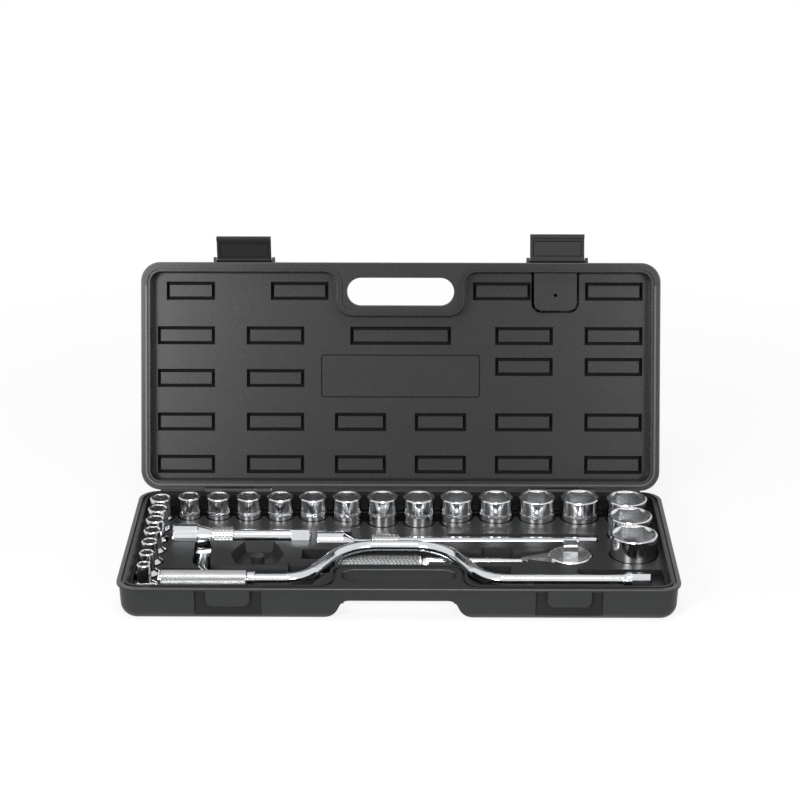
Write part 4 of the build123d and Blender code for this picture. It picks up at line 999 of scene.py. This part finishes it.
@dataclass
class Sockets:
    """The row and the two columns of sockets: lathe-polished outside, broached hexagon inside."""

    smallest: int = 8
    largest: int = 32
    edge_mm: float = 0.35
    wall_share: float = 0.03
    floor_mm: float = 1.0
    ring_smallest: int = 15
    ring_largest: int = 27
    ring_down_mm: float = 14.5
    ring_length_mm: float = 4.4
    ring_pitch_mm: float = 1.25
    ring_height_mm: float = 0.24
    ring_gap_mm: float = 0.01

    def build(self) -> list[Object]:
        """Return every finished socket, and then the knurled rings of the row."""
        pieces = [self._socket(node) for node in sockets(self.smallest, self.largest)]
        ringed = sockets(self.ring_smallest, self.ring_largest)
        return pieces + [self._ring(node).build() for node in ringed]

    def _socket(self, node: str) -> Object:
        """Build one socket and give its hexagon the broached finish.

        Args:
            node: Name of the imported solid.

        Returns:
            The finished socket.
        """
        piece = EasedCopy(node, self.edge_mm, SOCKET_CHROME, "polished").build()
        low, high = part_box(node)
        axis = (low + high) / 2
        corner = socket_size(node) / math.sqrt(3) * (1 + self.wall_share) * MM

        def in_hexagon(face: MeshPolygon) -> bool:
            """Say whether a face is one of the hexagon's flats or its floor."""
            across = Vector((face.center.x - axis.x, face.center.y - axis.y, 0))
            faces_in = face.normal.dot(across) <= 0 or abs(face.normal.z) > ROUGHLY_SQUARE
            return across.length < corner and faces_in and face.center.z > low.z + self.floor_mm * MM

        paint(piece, BROACHED, in_hexagon)
        return piece

    def _ring(self, node: str) -> KnurledSleeve:
        """Return the knurled ring round the middle of a socket.

        Args:
            node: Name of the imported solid.

        Returns:
            The ring, not built yet.
        """
        low, high = box_mm(node)
        middle = Vector(((low.x + high.x) / 2, (low.y + high.y) / 2, high.z - self.ring_down_mm))
        bore = (high.x - low.x) / 2 + self.ring_gap_mm
        return KnurledSleeve(
            f"{node}_knurl", body_of(node), Matrix.Translation(middle * MM), length=self.ring_length_mm,
            radius=bore + self.ring_gap_mm, bore=bore, pitch=self.ring_pitch_mm,
            height=self.ring_height_mm, finish=SOCKET_CHROME,
        )


@dataclass
class Grips:
    """Knurled grips of the brace, the ratchet and the extension bars, all sizes in millimetres."""

    pitch: float = 1.1
    height: float = 0.36
    brace_bore: float = 5.32
    coarse_pitch: float = 1.7
    coarse_height: float = 0.5
    coarse_radius: float = 8.1
    coarse_bore: float = 8.01
    handle_middle: float = 42.5
    handle_length: float = 79.0
    handle_axis_height: float = 12.3
    # Each band's bar, its distance from the bar's end and the length of its seat.
    bands: tuple[tuple[str, float, float], ...] = (
        ("extension_short", 34.0, 20.5),
        ("extension_long", 48.5, 25.5),
    )
    band_margin: float = 1.0

    def build(self) -> list[Object]:
        """Return every finished sleeve."""
        sleeves = [self._brace(), self._handle(), *(self._band(*band) for band in self.bands)]
        return [sleeve.build() for sleeve in sleeves]

    def _brace(self) -> KnurledSleeve:
        """Return the brace's loose grip, which stands for its plain solid."""
        low, high = box_mm("brace_grip")
        place = along_x((low.x + high.x) / 2, (low.y + high.y) / 2, (low.z + high.z) / 2)
        return KnurledSleeve(
            "brace_grip_knurled", "brace_grip", place, length=high.x - low.x,
            radius=(high.z - low.z) / 2 - self.height, bore=self.brace_bore, pitch=self.pitch,
            height=self.height, finish=KNURL_CHROME, stands_for=("brace_grip",),
        )

    def _handle(self) -> KnurledSleeve:
        """Return the sleeve on the ratchet's handle, in line with its drive."""
        start = box_mm("ratchet_body")[0].x
        low, high = box_mm("ratchet_gear")
        place = along_x(start + self.handle_middle, (low.y + high.y) / 2, self.handle_axis_height)
        # The handle's knurling gets the darker copy of the chrome: painted shade.
        return self._coarse("ratchet_handle_knurl", "ratchet", place, self.handle_length, SHADED_KNURL)

    def _band(self, node: str, start: float, length: float) -> KnurledSleeve:
        """Return the knurled band of an extension bar.

        Args:
            node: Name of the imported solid.
            start: Distance of the band from the bar's end.
            length: Length of the band's seat.

        Returns:
            The band, not built yet.
        """
        low, high = box_mm(node)
        place = along_x(low.x + start + length / 2, (low.y + high.y) / 2, (low.z + high.z) / 2)
        return self._coarse(f"{node}_knurl", node, place, length - 2 * self.band_margin, KNURL_CHROME)

    def _coarse(
        self, name: str, body: str, place: Matrix, length: float, finish: Finish
    ) -> KnurledSleeve:
        """Return a coarsely knurled sleeve for a bar, not built yet."""
        return KnurledSleeve(
            name, body, place, length, radius=self.coarse_radius, bore=self.coarse_bore,
            pitch=self.coarse_pitch, height=self.coarse_height, finish=finish,
        )


@dataclass
class PlatedTools:
    """The bars, the brace and the ratchet, redrawn with eased edges, and the small steel pieces."""

    edge_mm: float = 0.3
    bright: tuple[str, ...] = (
        "extension_short", "extension_long", "bent_bar", "brace_crank", "brace_collar", "brace_end_cap",
        "ratchet_gear",
    )
    satin: tuple[str, ...] = ("ratchet_body",)
    faced: tuple[str, ...] = ("ratchet_cover",)

    def build(self) -> list[Object]:
        """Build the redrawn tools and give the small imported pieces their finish.

        Returns:
            The redrawn tools, and then the small pieces.
        """
        tools: list[Object] = []
        for nodes, finish in ((self.bright, CHROME), (self.satin, SATIN), (self.faced, FACED)):
            tools += [EasedCopy(node, self.edge_mm, finish, "plated").build() for node in nodes]
        small = {Slot.STEEL.value: TURNED_STEEL, Slot.LEVER.value: LEVER_SKIN}
        for node, piece in frame["nodes"].items():
            if slot_of(node) in small:
                dress(piece, small[slot_of(node)])
                tools.append(piece)
        return tools


@dataclass(frozen=True)
class SoftBox:
    """A square studio lamp: its place and size in metres and its power in watts."""

    name: str
    place: tuple[float, float, float]
    size: float
    power: float

    def hang(self, target: Vector) -> None:
        """Hang the lamp so that it shines at a target.

        Args:
            target: Point that the lamp faces.
        """
        lamp = bpy.data.lights.new(self.name, "AREA")
        lamp.size = self.size
        lamp.energy = self.power
        box = bpy.data.objects.new(self.name, lamp)
        bpy.context.scene.collection.objects.link(box)
        box.location = self.place
        box.rotation_euler = (target - Vector(self.place)).to_track_quat("-Z", "Y").to_euler()


@dataclass
class Studio:
    """Pale floor, soft light and the camera of the photograph, all lengths in metres.

    One box hangs overhead and one stands each side of the camera, the left one stronger.
    """

    camera_place: tuple[float, float, float] = (0.014, -1.9196, 0.896)
    down_angle: float = 20.9
    yaw: float = -0.4
    lens: float = 106.97
    sensor: float = 36.0
    view_end: float = 50.0
    sky: float = 0.25
    floor_size: float = 30.0
    floor_gap: float = 0.0002
    shadow_reach: float = 0.3
    white_share: float = 0.86
    target: tuple[float, float, float] = (0.0, 0.0, 0.1)
    boxes: tuple[SoftBox, ...] = (
        SoftBox("top_box", (0.0, -0.8, 1.9), 0.5, 16.0),
        SoftBox("left_box", (-0.9, -1.75, 0.95), 0.6, 40.0),
        SoftBox("right_box", (0.92, -1.75, 0.9), 0.6, 19.0),
    )

    def build(self) -> None:
        """Set up the world, the floor, the lamps and the camera."""
        bpy.context.scene.view_settings.view_transform = "Standard"
        self._world()
        self._floor()
        for box in self.boxes:
            box.hang(Vector(self.target))
        self._camera()

    def _seen(self, tree: NodeTree) -> NodeSocket:
        """Return an output that is one where the camera looks, by itself or by way of metal or glass.

        Args:
            tree: Node tree that gets the nodes.

        Returns:
            Output socket of the last node.
        """
        path = add_node(tree, "ShaderNodeLightPath", {}).outputs
        direct = {0: path["Is Camera Ray"], 1: path["Is Glossy Ray"]}
        mirrored = add_node(tree, "ShaderNodeMath", direct, operation="ADD").outputs[0]
        either = {0: mirrored, 1: path["Is Transmission Ray"]}
        return add_node(tree, "ShaderNodeMath", either, operation="ADD", use_clamp=True).outputs[0]

    def _world(self) -> None:
        """Light the scene from a white surround that the camera and the metal see at full white."""
        world = bpy.data.worlds.new("white_surround")
        bpy.context.scene.world = world
        world.use_nodes = True
        tree = world.node_tree
        tree.nodes.clear()
        limits = {"Value": self._seen(tree), "To Min": self.sky, "To Max": 1.0}
        level = add_node(tree, "ShaderNodeMapRange", limits).outputs["Result"]
        white = {"Color": linear("#ffffff"), "Strength": level}
        surround = add_node(tree, "ShaderNodeBackground", white)
        add_node(tree, "ShaderNodeOutputWorld", {"Surface": surround.outputs["Background"]})

    def _floor(self) -> None:
        """Lay a white floor that keeps a faint shadow near the case."""
        bpy.ops.mesh.primitive_plane_add(size=self.floor_size, location=(0, 0, -self.floor_gap))
        floor = bpy.context.active_object
        floor.name = "studio_floor"
        material, tree = blank_material("white_paper")
        place = add_node(tree, "ShaderNodeTexCoord", {}).outputs["Object"]
        matt = add_node(tree, "ShaderNodeBsdfDiffuse", {"Color": linear("#f4f4f4")})
        glow = add_node(tree, "ShaderNodeEmission", {"Color": linear("#ffffff"), "Strength": 1.0})
        away = add_node(tree, "ShaderNodeVectorMath", {0: place}, operation="LENGTH")
        fade = {
            "Value": away.outputs["Value"],
            "From Min": self.shadow_reach,
            "From Max": 3 * self.shadow_reach,
            "To Min": self.white_share,
            "To Max": 1.0,
        }
        share = add_node(tree, "ShaderNodeMapRange", fade).outputs["Result"]
        both = {0: self._seen(tree), 1: share}
        white = add_node(tree, "ShaderNodeMath", both, operation="MULTIPLY").outputs[0]
        layers = {0: white, 1: matt.outputs["BSDF"], 2: glow.outputs["Emission"]}
        mixed = add_node(tree, "ShaderNodeMixShader", layers)
        add_node(tree, "ShaderNodeOutputMaterial", {"Surface": mixed.outputs["Shader"]})
        floor.data.materials.append(material)

    def _camera(self) -> None:
        """Set the camera where the photograph was taken from."""
        lens = bpy.data.cameras.new("photo_camera")
        lens.lens = self.lens
        lens.sensor_width = self.sensor
        lens.clip_end = self.view_end
        camera = bpy.data.objects.new("photo_camera", lens)
        bpy.context.scene.collection.objects.link(camera)
        camera.location = self.camera_place
        down, turn = math.radians(self.down_angle), math.radians(self.yaw)
        level = math.cos(down)
        forward = Vector((math.sin(turn) * level, math.cos(turn) * level, -math.sin(down)))
        camera.rotation_euler = forward.to_track_quat("-Z", "Y").to_euler()
        bpy.context.scene.camera = camera


def report(title: str, pieces: Iterable[Object]) -> None:
    """Log each piece of a sub-assembly with its face count."""
    for piece in pieces:
        LOG.info("%s: %s, %d faces", title, piece.name, len(piece.data.polygons))


def main() -> None:
    """Build every sub-assembly in order and report its pieces."""
    logging.basicConfig(level=logging.INFO, format="%(message)s")
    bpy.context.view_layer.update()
    report("case", CarryCase().build())
    report("hinge bead", HingeBead().build())
    report("ribs", [TrayRibs().build()])
    report("sockets", Sockets().build())
    report("tools", PlatedTools().build())
    report("grips", Grips().build())
    Studio().build()


if __name__ == "__main__":
    main()
